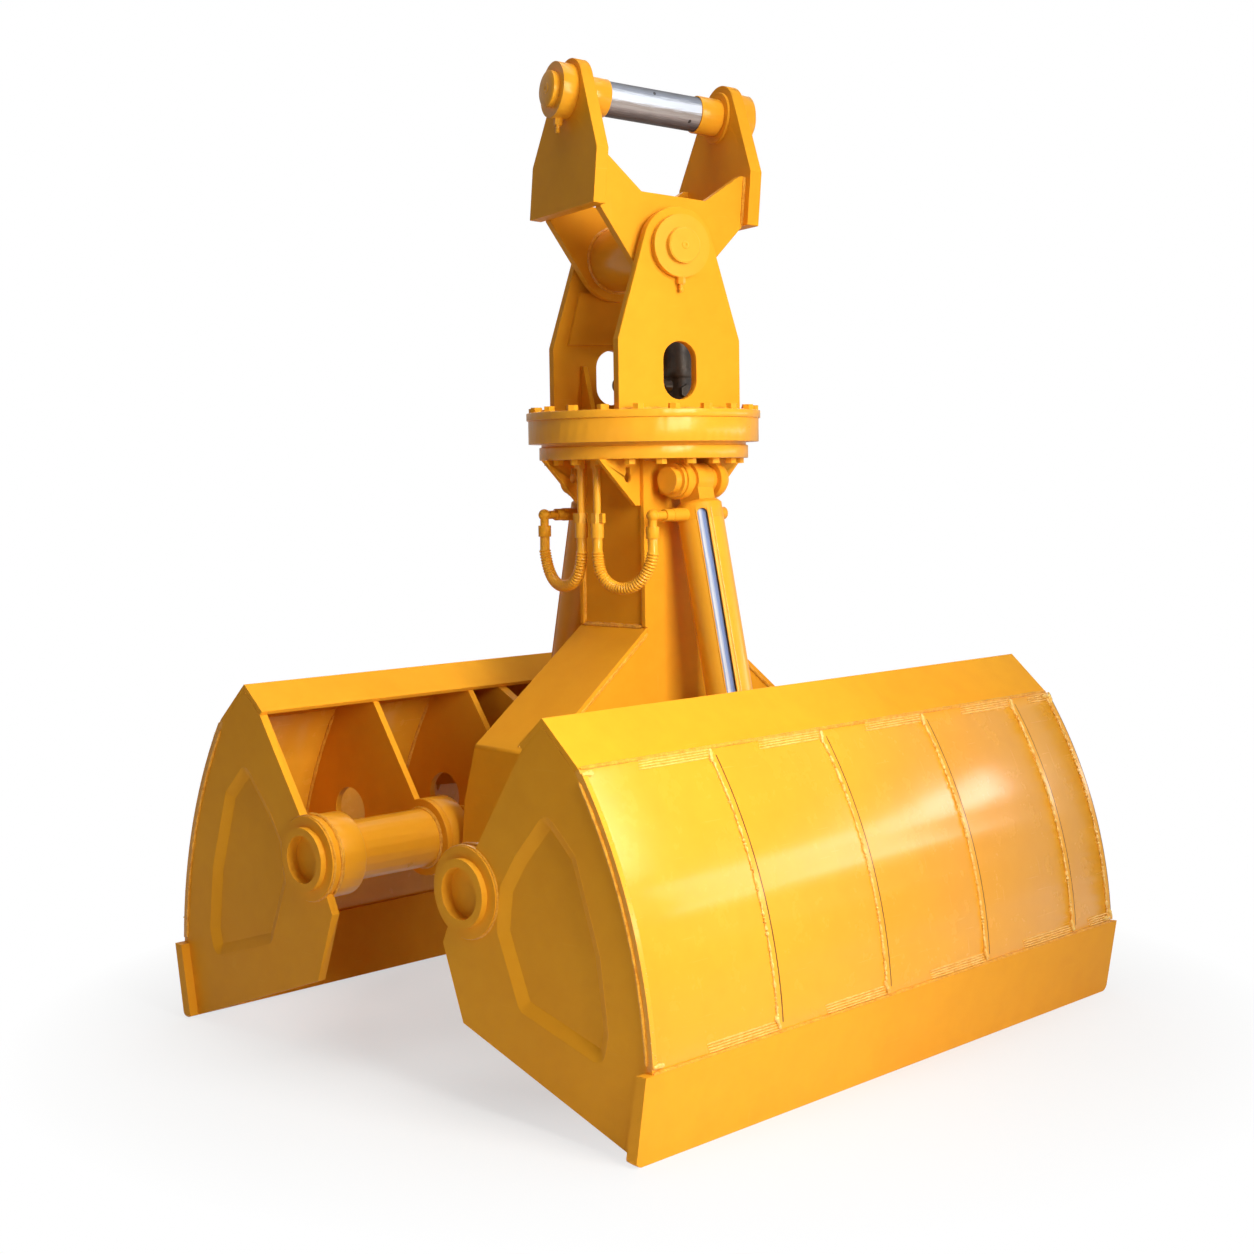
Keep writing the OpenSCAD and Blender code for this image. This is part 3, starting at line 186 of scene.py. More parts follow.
class Value:
    """A node socket that can be used in sums."""

    def __init__(self, nodes, socket):
        self.nodes, self.socket = nodes, socket

    def _math(self, operation, a, b):
        return self.nodes.add("ShaderNodeMath", {"operation": operation}, {0: a, 1: b})

    def __add__(self, other):
        return self._math("ADD", self, other)

    def __radd__(self, other):
        return self._math("ADD", other, self)

    def __sub__(self, other):
        return self._math("SUBTRACT", self, other)

    def __rsub__(self, other):
        return self._math("SUBTRACT", other, self)

    def __mul__(self, other):
        return self._math("MULTIPLY", self, other)

    def __rmul__(self, other):
        return self._math("MULTIPLY", other, self)

    def __truediv__(self, other):
        return self._math("DIVIDE", self, other)


def set_stops(ramp, stops):
    """Gives a colour ramp its stops, each a place and a colour."""
    while len(ramp.elements) < len(stops):
        ramp.elements.new(0.5)
    for stop, (place, colour) in zip(ramp.elements, stops):
        stop.position = place
        stop.color = (*colour, 1)


class Nodes:
    """A node tree and the one way of adding nodes to it."""

    def __init__(self, tree):
        self.tree = tree

    def add(self, kind, settings, inputs, out=0):
        node = self.tree.nodes.new(kind)
        for key, value in settings.items():
            if key == "stops":
                set_stops(node.color_ramp, value)
            else:
                setattr(node, key, value)
        for key, value in inputs.items():
            self.feed(node.inputs[key], value)
        return Value(self, node.outputs[out])

    def feed(self, socket, value):
        if isinstance(value, Value):
            self.tree.links.new(value.socket, socket)
        elif isinstance(value, tuple) and len(value) == 3 and socket.type == "RGBA":
            socket.default_value = (*value, 1)
        else:
            socket.default_value = value


class Look(Nodes):
    """A material on the Principled shader, placed by the object's own coordinates."""

    def __init__(self, name):
        self.material = bpy.data.materials.new(name)
        self.material.use_nodes = True
        super().__init__(self.material.node_tree)
        self.shader = self.tree.nodes["Principled BSDF"]
        self.coords = self.add("ShaderNodeTexCoord", {}, {}, "Object")

    def join(self, x, y, z):
        return self.add("ShaderNodeCombineXYZ", {}, {0: x, 1: y, 2: z})

    def local(self, matrix, mirrored=False):
        """The coordinates in the frame of a matrix in millimetres; mirrored folds the left side over."""
        at = self.coords
        if mirrored:
            x, y, z = (self.add("ShaderNodeSeparateXYZ", {}, {0: at}, i) for i in range(3))
            at = self.join(self.add("ShaderNodeMath", {"operation": "ABSOLUTE"}, {0: x}), y, z)
        dot = {"operation": "DOT_PRODUCT"}
        rows = matrix.inverted()[:3]
        return [self.add("ShaderNodeVectorMath", dot, {0: at, 1: tuple(row[:3])}, "Value") + row[3] * MM
                for row in rows]

    def noise(self, scale, detail=2.0, stretch=(1, 1, 1), rough=0.5, at=None):
        at = at or self.coords
        if tuple(stretch) != (1, 1, 1):
            at = self.add("ShaderNodeMapping", {}, {"Vector": at, "Scale": stretch})
        inputs = {"Vector": at, "Scale": scale, "Detail": detail, "Roughness": rough}
        return self.add("ShaderNodeTexNoise", {}, inputs)

    def ramp(self, value, *stops):
        return self.add("ShaderNodeValToRGB", {"stops": stops}, {0: value})

    def level(self, value, low, high):
        """0 below low, 1 above high and straight between them."""
        return self.add("ShaderNodeMapRange", {"clamp": True}, {0: value, 1: low, 2: high, 3: 0.0, 4: 1.0})

    def mix(self, share, a, b):
        return self.add("ShaderNodeMix", {"data_type": "RGBA"}, {0: share, 6: a, 7: b}, 2)

    def bump(self, height, strength, distance, after=None):
        inputs = {"Height": height, "Strength": strength, "Distance": distance}
        if after is not None:
            inputs["Normal"] = after
        return self.add("ShaderNodeBump", {}, inputs)

    def set(self, **values):
        for key, value in values.items():
            self.feed(self.shader.inputs[key.replace("_", " ")], value)
        return self.material


def linear(r, g, b):
    """Linear light of a colour that is written in the usual 0 to 255 steps."""
    def one(c):
        c /= 255.0
        return c / 12.92 if c <= 0.04045 else ((c + 0.055) / 1.055) ** 2.4
    return one(r), one(g), one(b)


GOLD_DEEP = linear(233, 155, 34)
GOLD_LIGHT = linear(243, 170, 42)
GOLD_RUBBED = linear(250, 198, 92)
DUST = linear(200, 126, 34)
GLOSS_TINT = (1.0, 0.78, 0.48, 1.0)


def paint(name, tone=0.5, rough=0.38, peel=0.05, waves=0.25, dust=0.10, lumps=0.0, coat=0.0, gloss=0.1,
          panels=False):
    """Glossy golden paint: drifting tone, dull dusty patches, fine scratches and a spray texture."""
    look = Look(name)
    drift = look.noise(1.7, 2.0)
    mottle = look.noise(19.0, 4.0, rough=0.6)
    base = look.mix(look.level(drift * 0.7 + mottle * 0.3 + (tone - 0.5), 0.3, 0.7), GOLD_DEEP, GOLD_LIGHT)
    patches = look.level(look.noise(5.5, 5.0, rough=0.65), 0.52, 0.8) * dust
    base = look.mix(patches, base, DUST)
    along = look.noise(7.0, 3.0, stretch=(1, 1, 34))
    across = look.noise(6.0, 3.0, stretch=(1, 26, 1))
    scratch = look.level(along, 0.705, 0.73) * 0.5 + look.level(across, 0.715, 0.74) * 0.5
    base = look.mix(scratch * 0.25, base, GOLD_RUBBED)
    fine = look.noise(420.0, 2.0)
    broad = look.noise(4.2, 1.0)
    normal = look.bump(broad, 0.6 * waves, 0.012)
    if panels:
        normal = look.bump(panel_crown(look), 1.0, 0.006, normal)
    normal = look.bump(fine, peel, 0.0012, normal)
    if lumps:
        normal = look.bump(look.noise(150.0, 3.0, rough=0.6), lumps, 0.003, normal)
    return look.set(
        Base_Color=base, Roughness=rough + 0.12 * (mottle - 0.5) + patches * 0.4 + scratch * 0.2,
        Coat_Weight=coat - patches * coat, Coat_Roughness=0.15, Specular_IOR_Level=gloss,
        Specular_Tint=GLOSS_TINT, Normal=normal)


def panel_crown(look):
    """Height of a back plate that bulges a little between its seams, most where they stand far apart."""
    wide = 0.36
    y = look.add("ShaderNodeSeparateXYZ", {}, {0: look.coords}, "Y")
    edges = [-END_Y * MM] + [(v + SEAM_W / 2) * MM for v in SEAMS] + [END_Y * MM]
    height = None
    for low, high in zip(edges, edges[1:]):
        across = look.level(y, low, high)
        crown = across * (1 - across) * 4 * (high - low) / wide
        height = crown if height is None else height + crown
    return height


def weld_paint(name, root_painted_shade, crest_painted_highlight, rough=0.34, rise=0.5):
    """Paint over a rippled weld, with painted shade in its hollows and a painted highlight on its high
    spots.
    """
    look = Look(name)
    ripples = look.noise(210.0, 3.0, rough=0.62)
    lumps = look.noise(62.0, 2.0)
    # Darker where the bump is low and brighter where it is high: painted shade and painted highlight.
    base = look.mix(look.level(ripples * 0.5 + lumps * 0.5, 0.34, 0.66), root_painted_shade, crest_painted_highlight)
    normal = look.bump(lumps, rise, 0.004)
    normal = look.bump(ripples, rise, 0.0022, normal)
    return look.set(Base_Color=base, Roughness=rough + 0.2 * (ripples - 0.5), Coat_Weight=0.3,
                    Coat_Roughness=0.15, Specular_IOR_Level=0.35, Specular_Tint=GLOSS_TINT, Normal=normal)


def rod_chrome(name):
    """Hard chrome of the rods, with streaks along the rod and faint handling marks."""
    look = Look(name)
    bright = linear(200, 204, 210)
    dull = tuple(c * 0.84 for c in bright)
    x, y, z = look.local(CYLINDER, True)
    drawn = look.noise(22.0, 4.0, rough=0.6, at=look.join(x * 26, y * 26, z))
    marks = look.level(look.noise(9.0, 4.0), 0.55, 0.8) * 0.1
    base = look.mix(marks, look.mix(look.level(drawn, 0.3, 0.7), dull, bright), linear(150, 140, 128))
    return look.set(Base_Color=base, Metallic=1.0 - 0.3 * marks,
                    Roughness=0.10 + 0.10 * (drawn - 0.5) + 0.25 * marks,
                    Normal=look.bump(drawn, 0.10, 0.0006))


def steel_with_painted_reflections(look, across, half, drawn, *stops):
    """Polished steel whose grey stripes along the bar are painted reflections in its base colour, with
    streaks that break their edges and dark nicks.
    """
    # Painted reflections: light and dark stripes in the base colour, fixed along the bar.
    painted_reflections = look.ramp(look.level(across + (drawn - 0.5) * half * 0.5, -half, half), *stops)
    nicks = look.level(look.noise(34.0, 1.0), 0.735, 0.755) * 0.85
    base = look.mix(nicks, painted_reflections, linear(44, 40, 40))
    return look.set(Base_Color=base, Metallic=0.10 + 0.08 * drawn, Roughness=0.34 + 0.1 * drawn,
                    Specular_IOR_Level=0.2, Normal=look.bump(drawn, 0.1, 0.0006))


def blued_tube_painted_reflections(name):
    """Bright tube behind the slot of a cylinder: blue-grey steel whose light and dark stripes along it are
    painted reflections.
    """
    look = Look(name)
    x, y, z = look.local(CYLINDER, True)
    ahead, side = polar(SLOT_ANGLE)
    drawn = look.noise(14.0, 3.0, at=look.join(x * 40, y * 40, z))
    # The stops are painted reflections across the slot: dark edges, a near-white stripe and blue-grey ones
    # between.
    return steel_with_painted_reflections(
        look, x * -side + y * ahead, 0.0125, drawn,
        (0.0, linear(58, 84, 140)), (0.12, linear(120, 148, 198)), (0.27, linear(222, 229, 240)),
        (0.43, linear(176, 188, 212)), (0.56, linear(110, 128, 170)), (0.72, linear(88, 106, 150)),
        (0.86, linear(140, 152, 180)), (1.0, linear(50, 54, 80)))


def pin_steel_painted_reflections(name):
    """Bare stick pin with painted reflections in its base colour: bright in the middle, painted shade along
    its upper and lower edge, a brownish painted reflection below.
    """
    look = Look(name)
    x, y, z = look.local(LINK)
    drawn = look.noise(22.0, 4.0, rough=0.6, at=look.join(x * 26, y, z * 26))
    # Painted reflections and painted shade in stripes round the pin, fixed along it.
    return steel_with_painted_reflections(
        look, z - LINK_H * MM, 0.042, drawn,
        (0.0, linear(62, 60, 64)), (0.14, linear(116, 112, 114)), (0.27, linear(176, 170, 168)),
        (0.37, linear(150, 140, 134)), (0.47, linear(214, 222, 236)), (0.62, linear(226, 233, 246)),
        (0.74, linear(138, 144, 158)), (0.86, linear(116, 118, 126)), (1.0, linear(40, 42, 48)))


def dark_casting(name):
    """Oily dark iron of the swivel and the slewing motor."""
    look = Look(name)
    grain = look.noise(160.0, 4.0, rough=0.6)
    wet = look.level(look.noise(14.0, 3.0), 0.42, 0.68)
    base = look.mix(wet, linear(52, 46, 42), linear(92, 80, 66))
    return look.set(Base_Color=base, Metallic=0.35 + 0.2 * wet, Roughness=0.52 - 0.22 * wet,
                    Normal=look.bump(grain, 0.35, 0.0016))


class Shape:
    """Points and faces in millimetres, collected before they become one piece."""

    def __init__(self):
        self.points, self.faces = [], []

    def join(self, points, faces):
        start = len(self.points)
        self.points += [Vector(p) for p in points]
        self.faces += [[start + i for i in f] for f in faces]
        return self

    def sweep(self, path, section, closed=False, sizes=None, up=None):
        """Carries a section of (side, up) points along a path without twisting it."""
        path = [Vector(p) for p in path]
        n, k = len(path), len(section)
        tangents = []
        for i in range(n):
            before = path[(i - 1) % n] if closed else path[max(i - 1, 0)]
            after = path[(i + 1) % n] if closed else path[min(i + 1, n - 1)]
            tangents.append((after - before).normalized())
        if up is None:
            up = Vector((0, 0, 1)) if abs(tangents[0].z) < 0.9 else Vector((0, 1, 0))
        normal = Vector(up)
        rings = []
        for i in range(n):
            normal = (normal - tangents[i] * normal.dot(tangents[i])).normalized()
            side = tangents[i].cross(normal)
            size = sizes[i] if sizes else 1.0
            rings.append([path[i] + side * (a * size) + normal * (b * size) for a, b in section])
        faces = []
        for i in range(n if closed else n - 1):
            a, b = i * k, ((i + 1) % n) * k
            faces += [[a + j, a + (j + 1) % k, b + (j + 1) % k, b + j] for j in range(k)]
        if not closed:
            faces += [list(range(k))[::-1], [(n - 1) * k + j for j in range(k)]]
        return self.join([p for ring in rings for p in ring], faces)

    def bead(self, path, r, seed, step=8.0, closed=False, lumps=0.16):
        """A weld bead along a path, its width swelling and shrinking a little."""
        path = evenly(path, step, closed)
        rng = random.Random(seed + len(path))
        sizes = [1.0 + lumps * (2 * rng.random() - 1) for _ in path]
        if not closed:
            sizes[0] = sizes[-1] = 0.55
        section = [(r * math.cos(a), r * math.sin(a)) for a in (math.pi * (i + 0.5) / 4 for i in range(8))]
        return self.sweep(path, section, closed, sizes)

    def lathe(self, outline, matrix, segments=64):
        """Turns (radius, height) points round the local Z of a matrix."""
        k = len(outline)
        points, faces = [], []
        for i in range(segments):
            c, s = math.cos(2 * math.pi * i / segments), math.sin(2 * math.pi * i / segments)
            points += [matrix @ Vector((r * c, r * s, h)) for r, h in outline]
        for i in range(segments):
            a, b = i * k, ((i + 1) % segments) * k
            faces += [[a + j, b + j, b + j + 1, a + j + 1] for j in range(k - 1)]
        return self.join(points, faces)

    def blob(self, at, r):
        """A grain of weld spatter, with eight faces."""
        ends = ((1, 0, 0), (-1, 0, 0), (0, 1, 0), (0, -1, 0), (0, 0, 1), (0, 0, -1))
        upper = [[0, 2, 4], [2, 1, 4], [1, 3, 4], [3, 0, 4]]
        lower = [[2, 0, 5], [1, 2, 5], [3, 1, 5], [0, 3, 5]]
        return self.join([at + Vector(p) * r for p in ends], upper + lower)

    def turned(self, matrix):
        self.points = [matrix @ p for p in self.points]
        return self

    def build(self, name, body, material, slot, sign=1, smooth=35.0):
        """Makes the piece, mirrored in X for the left side, and hangs it on its body."""
        mesh = bpy.data.meshes.new(name)
        points = [(sign * p.x * MM, p.y * MM, p.z * MM) for p in self.points]
        faces = self.faces if sign > 0 else [f[::-1] for f in self.faces]
        mesh.from_pydata(points, [], faces)
        mesh.validate()
        work = bmesh.new()
        work.from_mesh(mesh)
        bmesh.ops.remove_doubles(work, verts=work.verts, dist=1e-6)
        bmesh.ops.recalc_face_normals(work, faces=work.faces)
        work.to_mesh(mesh)
        work.free()
        mesh.shade_smooth()
        mesh.set_sharp_from_angle(angle=math.radians(smooth))
        mesh.materials.append(material)
        piece = bpy.data.objects.new(name, mesh)
        bpy.context.scene.collection.objects.link(piece)
        if body:
            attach(piece, body)
        return piece


def evenly(path, step, closed=False):
    """Points about one step apart along a path of straight runs."""
    path = [Vector(p) for p in path]
    runs = list(zip(path, path[1:] + path[:1] if closed else path[1:]))
    out = []
    for a, b in runs:
        n = max(1, round((b - a).length / step))
        out += [a.lerp(b, i / n) for i in range(n)]
    return out if closed else out + [path[-1]]


def arc(centre, r, start, end, y, n):
    """Points of an arc in the plane at y, between two angles."""
    points = []
    for i in range(n + 1):
        dx, dz = polar(start + (end - start) * i / n, r)
        points.append(Vector((centre[0] + dx, y, centre[1] + dz)))
    return points


def ring(matrix, r, n=40):
    """Points of a circle round the local Z of a matrix."""
    return [matrix @ Vector((r * math.cos(2 * math.pi * i / n), r * math.sin(2 * math.pi * i / n), 0))
            for i in range(n)]


def along_y(x, z, y=0.0, facing=1):
    """A matrix whose Z runs along +Y or -Y, placed at x, y, z."""
    turn = Matrix.Rotation(math.radians(-90 if facing > 0 else 90), 4, "X")
    return Matrix.Translation((x, y, z)) @ turn


def along_x(x, facing=1):
    """A matrix whose Z runs along +X or -X, placed at x."""
    return Matrix.Translation((x, 0, 0)) @ Matrix.Rotation(math.radians(90 * facing), 4, "Y")


def hinge_ring(y, r):
    """Points of a circle round the hinge pin."""
    return ring(along_y(HINGE_X, HINGE_Z, y), r)


def rounded(points, r, n):
    """Rounds every corner of an outline with n steps."""
    out, k = [], len(points)
    for i in range(k):
        a, b, c = (Vector(points[(i + d) % k]) for d in (-1, 0, 1))
        ua, uc = (a - b).normalized(), (c - b).normalized()
        half = math.acos(max(-1, min(1, ua.dot(uc)))) / 2
        centre = b + (ua + uc).normalized() * r / math.sin(half)
        start, end = b + ua * r / math.tan(half) - centre, b + uc * r / math.tan(half) - centre
        turn = math.atan2(start.x * end.y - start.y * end.x, start.dot(end))
        first = math.atan2(start.y, start.x)
        for j in range(n + 1):
            at = first + turn * j / n
            out.append(centre + r * Vector((math.cos(at), math.sin(at))))
    return out


def inset(points, by):
    """Draws a counter-clockwise or clockwise outline in by a distance."""
    k = len(points)
    area = sum(points[i].x * points[(i + 1) % k].y - points[(i + 1) % k].x * points[i].y for i in range(k))
    side = 1 if area > 0 else -1
    out = []
    for i in range(k):
        t = (points[(i + 1) % k] - points[(i - 1) % k]).normalized()
        out.append(points[i] + side * by * Vector((-t.y, t.x)))
    return out


FINISH = {
    "plate": paint("paint_plate"),
    "back": paint("paint_rolled_back", tone=0.57, rough=0.26, peel=0.04, waves=0.35, dust=0.06, coat=0.42,
                  gloss=0.3, panels=True),
    "back_strip": paint("paint_strip", tone=0.62, rough=0.30, waves=0.0, dust=0.04, lumps=0.1, coat=0.45,
                        gloss=0.3),
    "inside": paint("paint_inside", tone=0.42, rough=0.42, peel=0.07, waves=0.3, dust=0.2, coat=0.08),
    "frame": paint("paint_frame", tone=0.47, gloss=0.05),
    "turned": paint("paint_turned", tone=0.55, rough=0.30, peel=0.03, waves=0.0, dust=0.06, coat=0.12,
                    gloss=0.3),
    "cast": paint("paint_cast", peel=0.06, waves=0.1, lumps=0.12, gloss=0.2),
    "bolt": paint("paint_bolt", tone=0.55, rough=0.36, peel=0.06, waves=0.0, lumps=0.12),
    "hose": paint("paint_hose", tone=0.66, rough=0.30, waves=0.0, dust=0.06, lumps=0.06, coat=0.2,
                  gloss=0.3),
    # Lighter than the plate paint: a painted highlight on the ridged welds and the guard's folded line.
    "ridge": weld_paint("paint_ridge_painted_highlight", linear(236, 166, 54), linear(252, 206, 110), 0.2, 0.12),
    # Dark brown strip beside each seam: a painted shadow of the raised seam's edge.
    "painted_shadow_line": weld_paint("paint_painted_shadow_line", linear(84, 42, 6), linear(116, 64, 12), 0.5, 0.3),
    "weld": weld_paint("paint_weld", linear(214, 134, 28), linear(247, 182, 62)),
    # Near-white crest colour: a painted highlight along the seam beads.
    "seam_weld": weld_paint("paint_seam_weld", linear(238, 164, 48), linear(255, 224, 134), 0.22),
    "pin": pin_steel_painted_reflections("pin_steel_painted_reflections"),
    "tube": blued_tube_painted_reflections("blued_tube_painted_reflections"),
    "rod": rod_chrome("chrome_rod"),
    "swivel": dark_casting("swivel_casting"),
}
NODE_FINISH = {
    "shell_back": "back", "shell_end_front": "plate", "shell_end_rear": "plate", "shell_ribs": "inside",
    "shell_beam": "plate", "shell_lip": "plate", "hinge_tubes": "turned", "shell_pins": "turned",
    "shell_seams": "back_strip", "cyl_head": "cast", "cyl_guard": "hose", "cyl_tube": "tube",
    "cyl_gland": "turned", "cyl_rod": "rod", "rod_pin_core": "rod", "lower_flange": "turned",
    "slew_inner_ring": "turned", "lower_bolts": "bolt", "column_plates": "frame", "column_covers": "frame",
    "leg_covers": "frame", "hinge_plates": "frame", "hinge_bosses": "turned", "flange_gussets": "frame",
    "cylinder_lugs": "frame", "cylinder_pins": "turned", "oil_pipes": "hose", "hose": "hose",
    "head_lug_near": "frame", "head_lug_far": "frame", "cross_pin": "turned", "cross_collars": "turned",
    "top_flange": "turned", "slew_outer_ring": "turned", "flange_bolts": "bolt", "rotary_swivel": "swivel",
    "link_ear_left": "frame", "link_ear_right": "frame", "link_web_near": "frame", "link_web_far": "frame",
    "link_tube": "turned", "stick_pin": "pin", "stick_collars": "turned", "stick_sleeves": "turned",
}
# Width of the rounding along the edges, by finish and for single nodes
SOFT_EDGE = {
    "plate": 1.6, "frame": 1.6, "inside": 1.2, "turned": 1.8, "bolt": 1.0, "back": 1.0, "cast": 2.5,
    "swivel": 1.2,
}
SOFT_NODE = {
    "shell_end_front": 3.0, "shell_end_rear": 3.0, "stick_collars": 4.0, "cross_collars": 3.4,
    "cylinder_pins": 3.4, "hinge_tubes": 2.6,
}
SHARP_ANGLE = 34


def finish_nodes():
    """Gives every carried-over solid its finish and a small rounding on its edges."""
    for name, node in NODES.items():
        key = name if name in NODE_FINISH else name.rsplit("_", 1)[0]
        finish = NODE_FINISH[key]
        node.data.materials.clear()
        node.data.materials.append(FINISH[finish])
        width = SOFT_NODE.get(key, SOFT_EDGE.get(finish))
        if width:
            weld = node.modifiers.new("join", "WELD")
            weld.merge_threshold = 1e-6
            bevel = node.modifiers.new("edge", "BEVEL")
            bevel.width = width * MM
            bevel.segments = 2
            bevel.limit_method = "ANGLE"
            bevel.angle_limit = math.radians(SHARP_ANGLE)
            bevel.harden_normals = True
            bevel.use_clamp_overlap = True


def smooth_path(points, step):
    """A curve through the points, sampled about one step apart."""
    pts = [Vector(p) for p in points]
    out = []
    for i in range(len(pts) - 1):
        a, b, c, d = (pts[max(0, min(len(pts) - 1, i + k))] for k in (-1, 0, 1, 2))
        n = max(1, round((c - b).length / step))
        for j in range(n):
            t = j / n
            out.append(0.5 * (2 * b + (c - a) * t + (2 * a - 5 * b + 4 * c - d) * t * t
                              + (3 * b - a - 3 * c + d) * t ** 3))
    return out + [pts[-1]]


def run_length(path):
    return sum((b - a).length for a, b in zip(path, path[1:]))


def hose_rings():
    """Points along the hose and the radius at each, which swells at every rib."""
    fine = smooth_path(HOSE_ROUTE, 1.0)
    length = run_length(fine)
    ribs = int((length - 2 * HOSE_D) // HOSE_RIB_PITCH)
    first = (length - ribs * HOSE_RIB_PITCH) / 2
    stations = [0.0, first]
    for i in range(ribs):
        stations += [first + (i + share) * HOSE_RIB_PITCH for share in (*HOSE_RIB_SWELL, 1.0)]
    stations.append(length)
    path, radii, done, i = [], [], 0.0, 0
    for at in stations:
        while i < len(fine) - 2 and done + (fine[i + 1] - fine[i]).length < at:
            done += (fine[i + 1] - fine[i]).length
            i += 1
        run = (fine[i + 1] - fine[i]).length
        path.append(fine[i].lerp(fine[i + 1], min(1.0, (at - done) / run)))
        share = round(((at - first) / HOSE_RIB_PITCH) % 1.0, 2)
        ribbed = first < at < first + ribs * HOSE_RIB_PITCH
        swell = HOSE_RIB_SWELL.get(share, 0.0) if ribbed else 0.0
        radii.append((HOSE_ROOT_D + (HOSE_D - HOSE_ROOT_D) * swell) / 2)
    return path, radii


def build_hoses():
    """Ribbed hoses from the flange pipes to the cylinder elbows."""
    path, radii = hose_rings()
    circle = [(math.cos(a), math.sin(a)) for a in (2 * math.pi * j / 20 for j in range(20))]
    for side, sign in SIDES:
        piece = Shape().sweep(path, circle, sizes=radii).build(
            f"hose_cover_{side}", None, FINISH["hose"], "hose", sign, smooth=60)
        line = [(sign * p.x * MM, p.y * MM, p.z * MM) for p in smooth_path(HOSE_ROUTE, 4.0)]
        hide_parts(f"hose_{side}")
        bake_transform(piece)
        run_length([Vector(p) for p in line])


def shell_welds(side, sign):
    """Welds along the back's four edges, at the ribs and rod lugs, and round the hinge tubes."""
    s = Shape()
    centre = (BACK_X, BACK_Z)
    inner_r = BACK_R - BACK_T - 1
    for y in (-END_Y - SKIN, END_Y + SKIN):
        s.bead(arc(centre, inner_r, BACK_LOW + 0.8, BACK_TOP - 1.2, y, 60), 4.0, seed=3)
    s.bead([back_point(BACK_TOP, BACK_R + SKIN, y) for y in (-END_Y + 4, END_Y - 4)], 4.0, seed=5)
    s.bead([back_point(BACK_LOW, BACK_R + 1, y) for y in (-END_Y + 2, END_Y - 2)], 4.5, seed=7)
    for y in (RIB_OUTER, RIB_MIDDLE):
        for face in (-RIB_HALF, RIB_HALF):
            for mirror in (-1, 1):
                s.bead(arc(centre, inner_r, 10.5, BACK_TOP - 1, mirror * (y + face), 40), 5.0, seed=11)
    for face in (LUG_IN, LUG_IN + LUG_T):
        for mirror in (-1, 1):
            s.bead(arc(centre, inner_r, 18, BACK_TOP - 1, mirror * face, 24), 6.0, seed=13)
    boss, tube = BOSS_R + SKIN, TUBE_R + SKIN
    step_y = END_Y - END_T - TUBE_STEP - SKIN
    for end in (-1, 1):
        s.bead(hinge_ring(end * (END_Y + SKIN), boss), 3.0, seed=17, step=6, closed=True)
        s.bead(hinge_ring(end * (END_Y - END_T - SKIN), boss), 5.0, seed=19, closed=True)
        s.bead(hinge_ring(end * step_y, tube), 5.0, seed=23, step=7, closed=True)
        s.bead(hinge_ring(end * (RIB_OUTER + RIB_HALF + SKIN), tube), 5.0, seed=29, step=7, closed=True)
    s.build(f"shell_welds_{side}", f"shell_{side}", FINISH["weld"], "paint", sign)


def spatter(s, rng, low, high, y):
    """Grains of spatter beside the seam at y; those of the near end plate lie on its raised edge."""
    rise, shift = (SEAM_H, 8.0) if y == -END_Y else (0.0, 0.0)
    for _ in range(GRAINS):
        angle = low + (high - low) * rng.random()
        at = back_point(angle, BACK_R + 0.2 + rise, y + rng.uniform(-9.0, 5.0) + shift)
        s.blob(at, rng.uniform(*GRAIN_R))


def seam_end_welds(s, ridges, index, y):
    """Ridged welds and a short cross bead at the upper and lower end of the seam at y."""
    before = SEAMS[index - 1] + SEAM_W if index else -END_Y + SEAM_W
    reach = RIDGE_SHARE * (y - before)
    for end, towards in ((BACK_TOP - 0.25, -1), (BACK_LOW + 0.35, 1)):
        for row in range(RIDGE_ROWS):
            angle = end + towards * RIDGE_PITCH * row
            run = [back_point(angle, BACK_R + 0.3, at) for at in (y + 4 - 3 * row, y - reach - 2 * row)]
            ridges.bead(run, RIDGE_R, seed=41 + index + row, step=16, lumps=0.04)
        proud = BACK_R + 1.5
        across = [back_point(end, proud, y + 6), back_point(end + towards * 1.5, proud, y - 6)]
        s.bead(across, 4.6, seed=43 + index, step=5, lumps=0.3)


def seam_welds(side, sign):
    """Rough bead with spatter on the near side of each raised seam, and ridged welds at its two ends."""
    s, ridges, shades = Shape(), Shape(), Shape()
    rng = random.Random(59)
    low, high = BACK_LOW + 1, BACK_TOP - 1
    for index, y in enumerate((*SEAMS, -END_Y, END_Y - SEAM_W)):
        if y > -END_Y:
            s.bead(back_run(low, high, 150, 1.2, y - 1.0), 2.6, seed=31 + index, step=5, lumps=0.8)
            # A dark strip beside the seam, a painted shadow of its raised edge.
            shades.sweep(back_run(low, high, 100, 0.3, y + SEAM_W + SHADE_OFF), SHADE_SECTION, up=(1, 0, 0))
        spatter(s, rng, low, high, y)
    for index, y in enumerate((*SEAMS, END_Y)):
        seam_end_welds(s, ridges, index, y)
    for end in (-1, 1):
        for angle in (BACK_TOP - 0.7, BACK_LOW + 0.7):
            corner = [back_point(angle, BACK_R + 1.8, end * (END_Y - off)) for off in (2, 30)]
            s.bead(corner, 5.0, seed=53, step=7, lumps=0.3)
    body = f"shell_{side}"
    s.build(f"seam_welds_{side}", body, FINISH["seam_weld"], "paint", sign)
    ridges.build(f"ridge_welds_{side}", body, FINISH["ridge"], "paint", sign, smooth=50)
    shades.build(f"seam_painted_shadows_{side}", body, FINISH["painted_shadow_line"], "paint", sign)


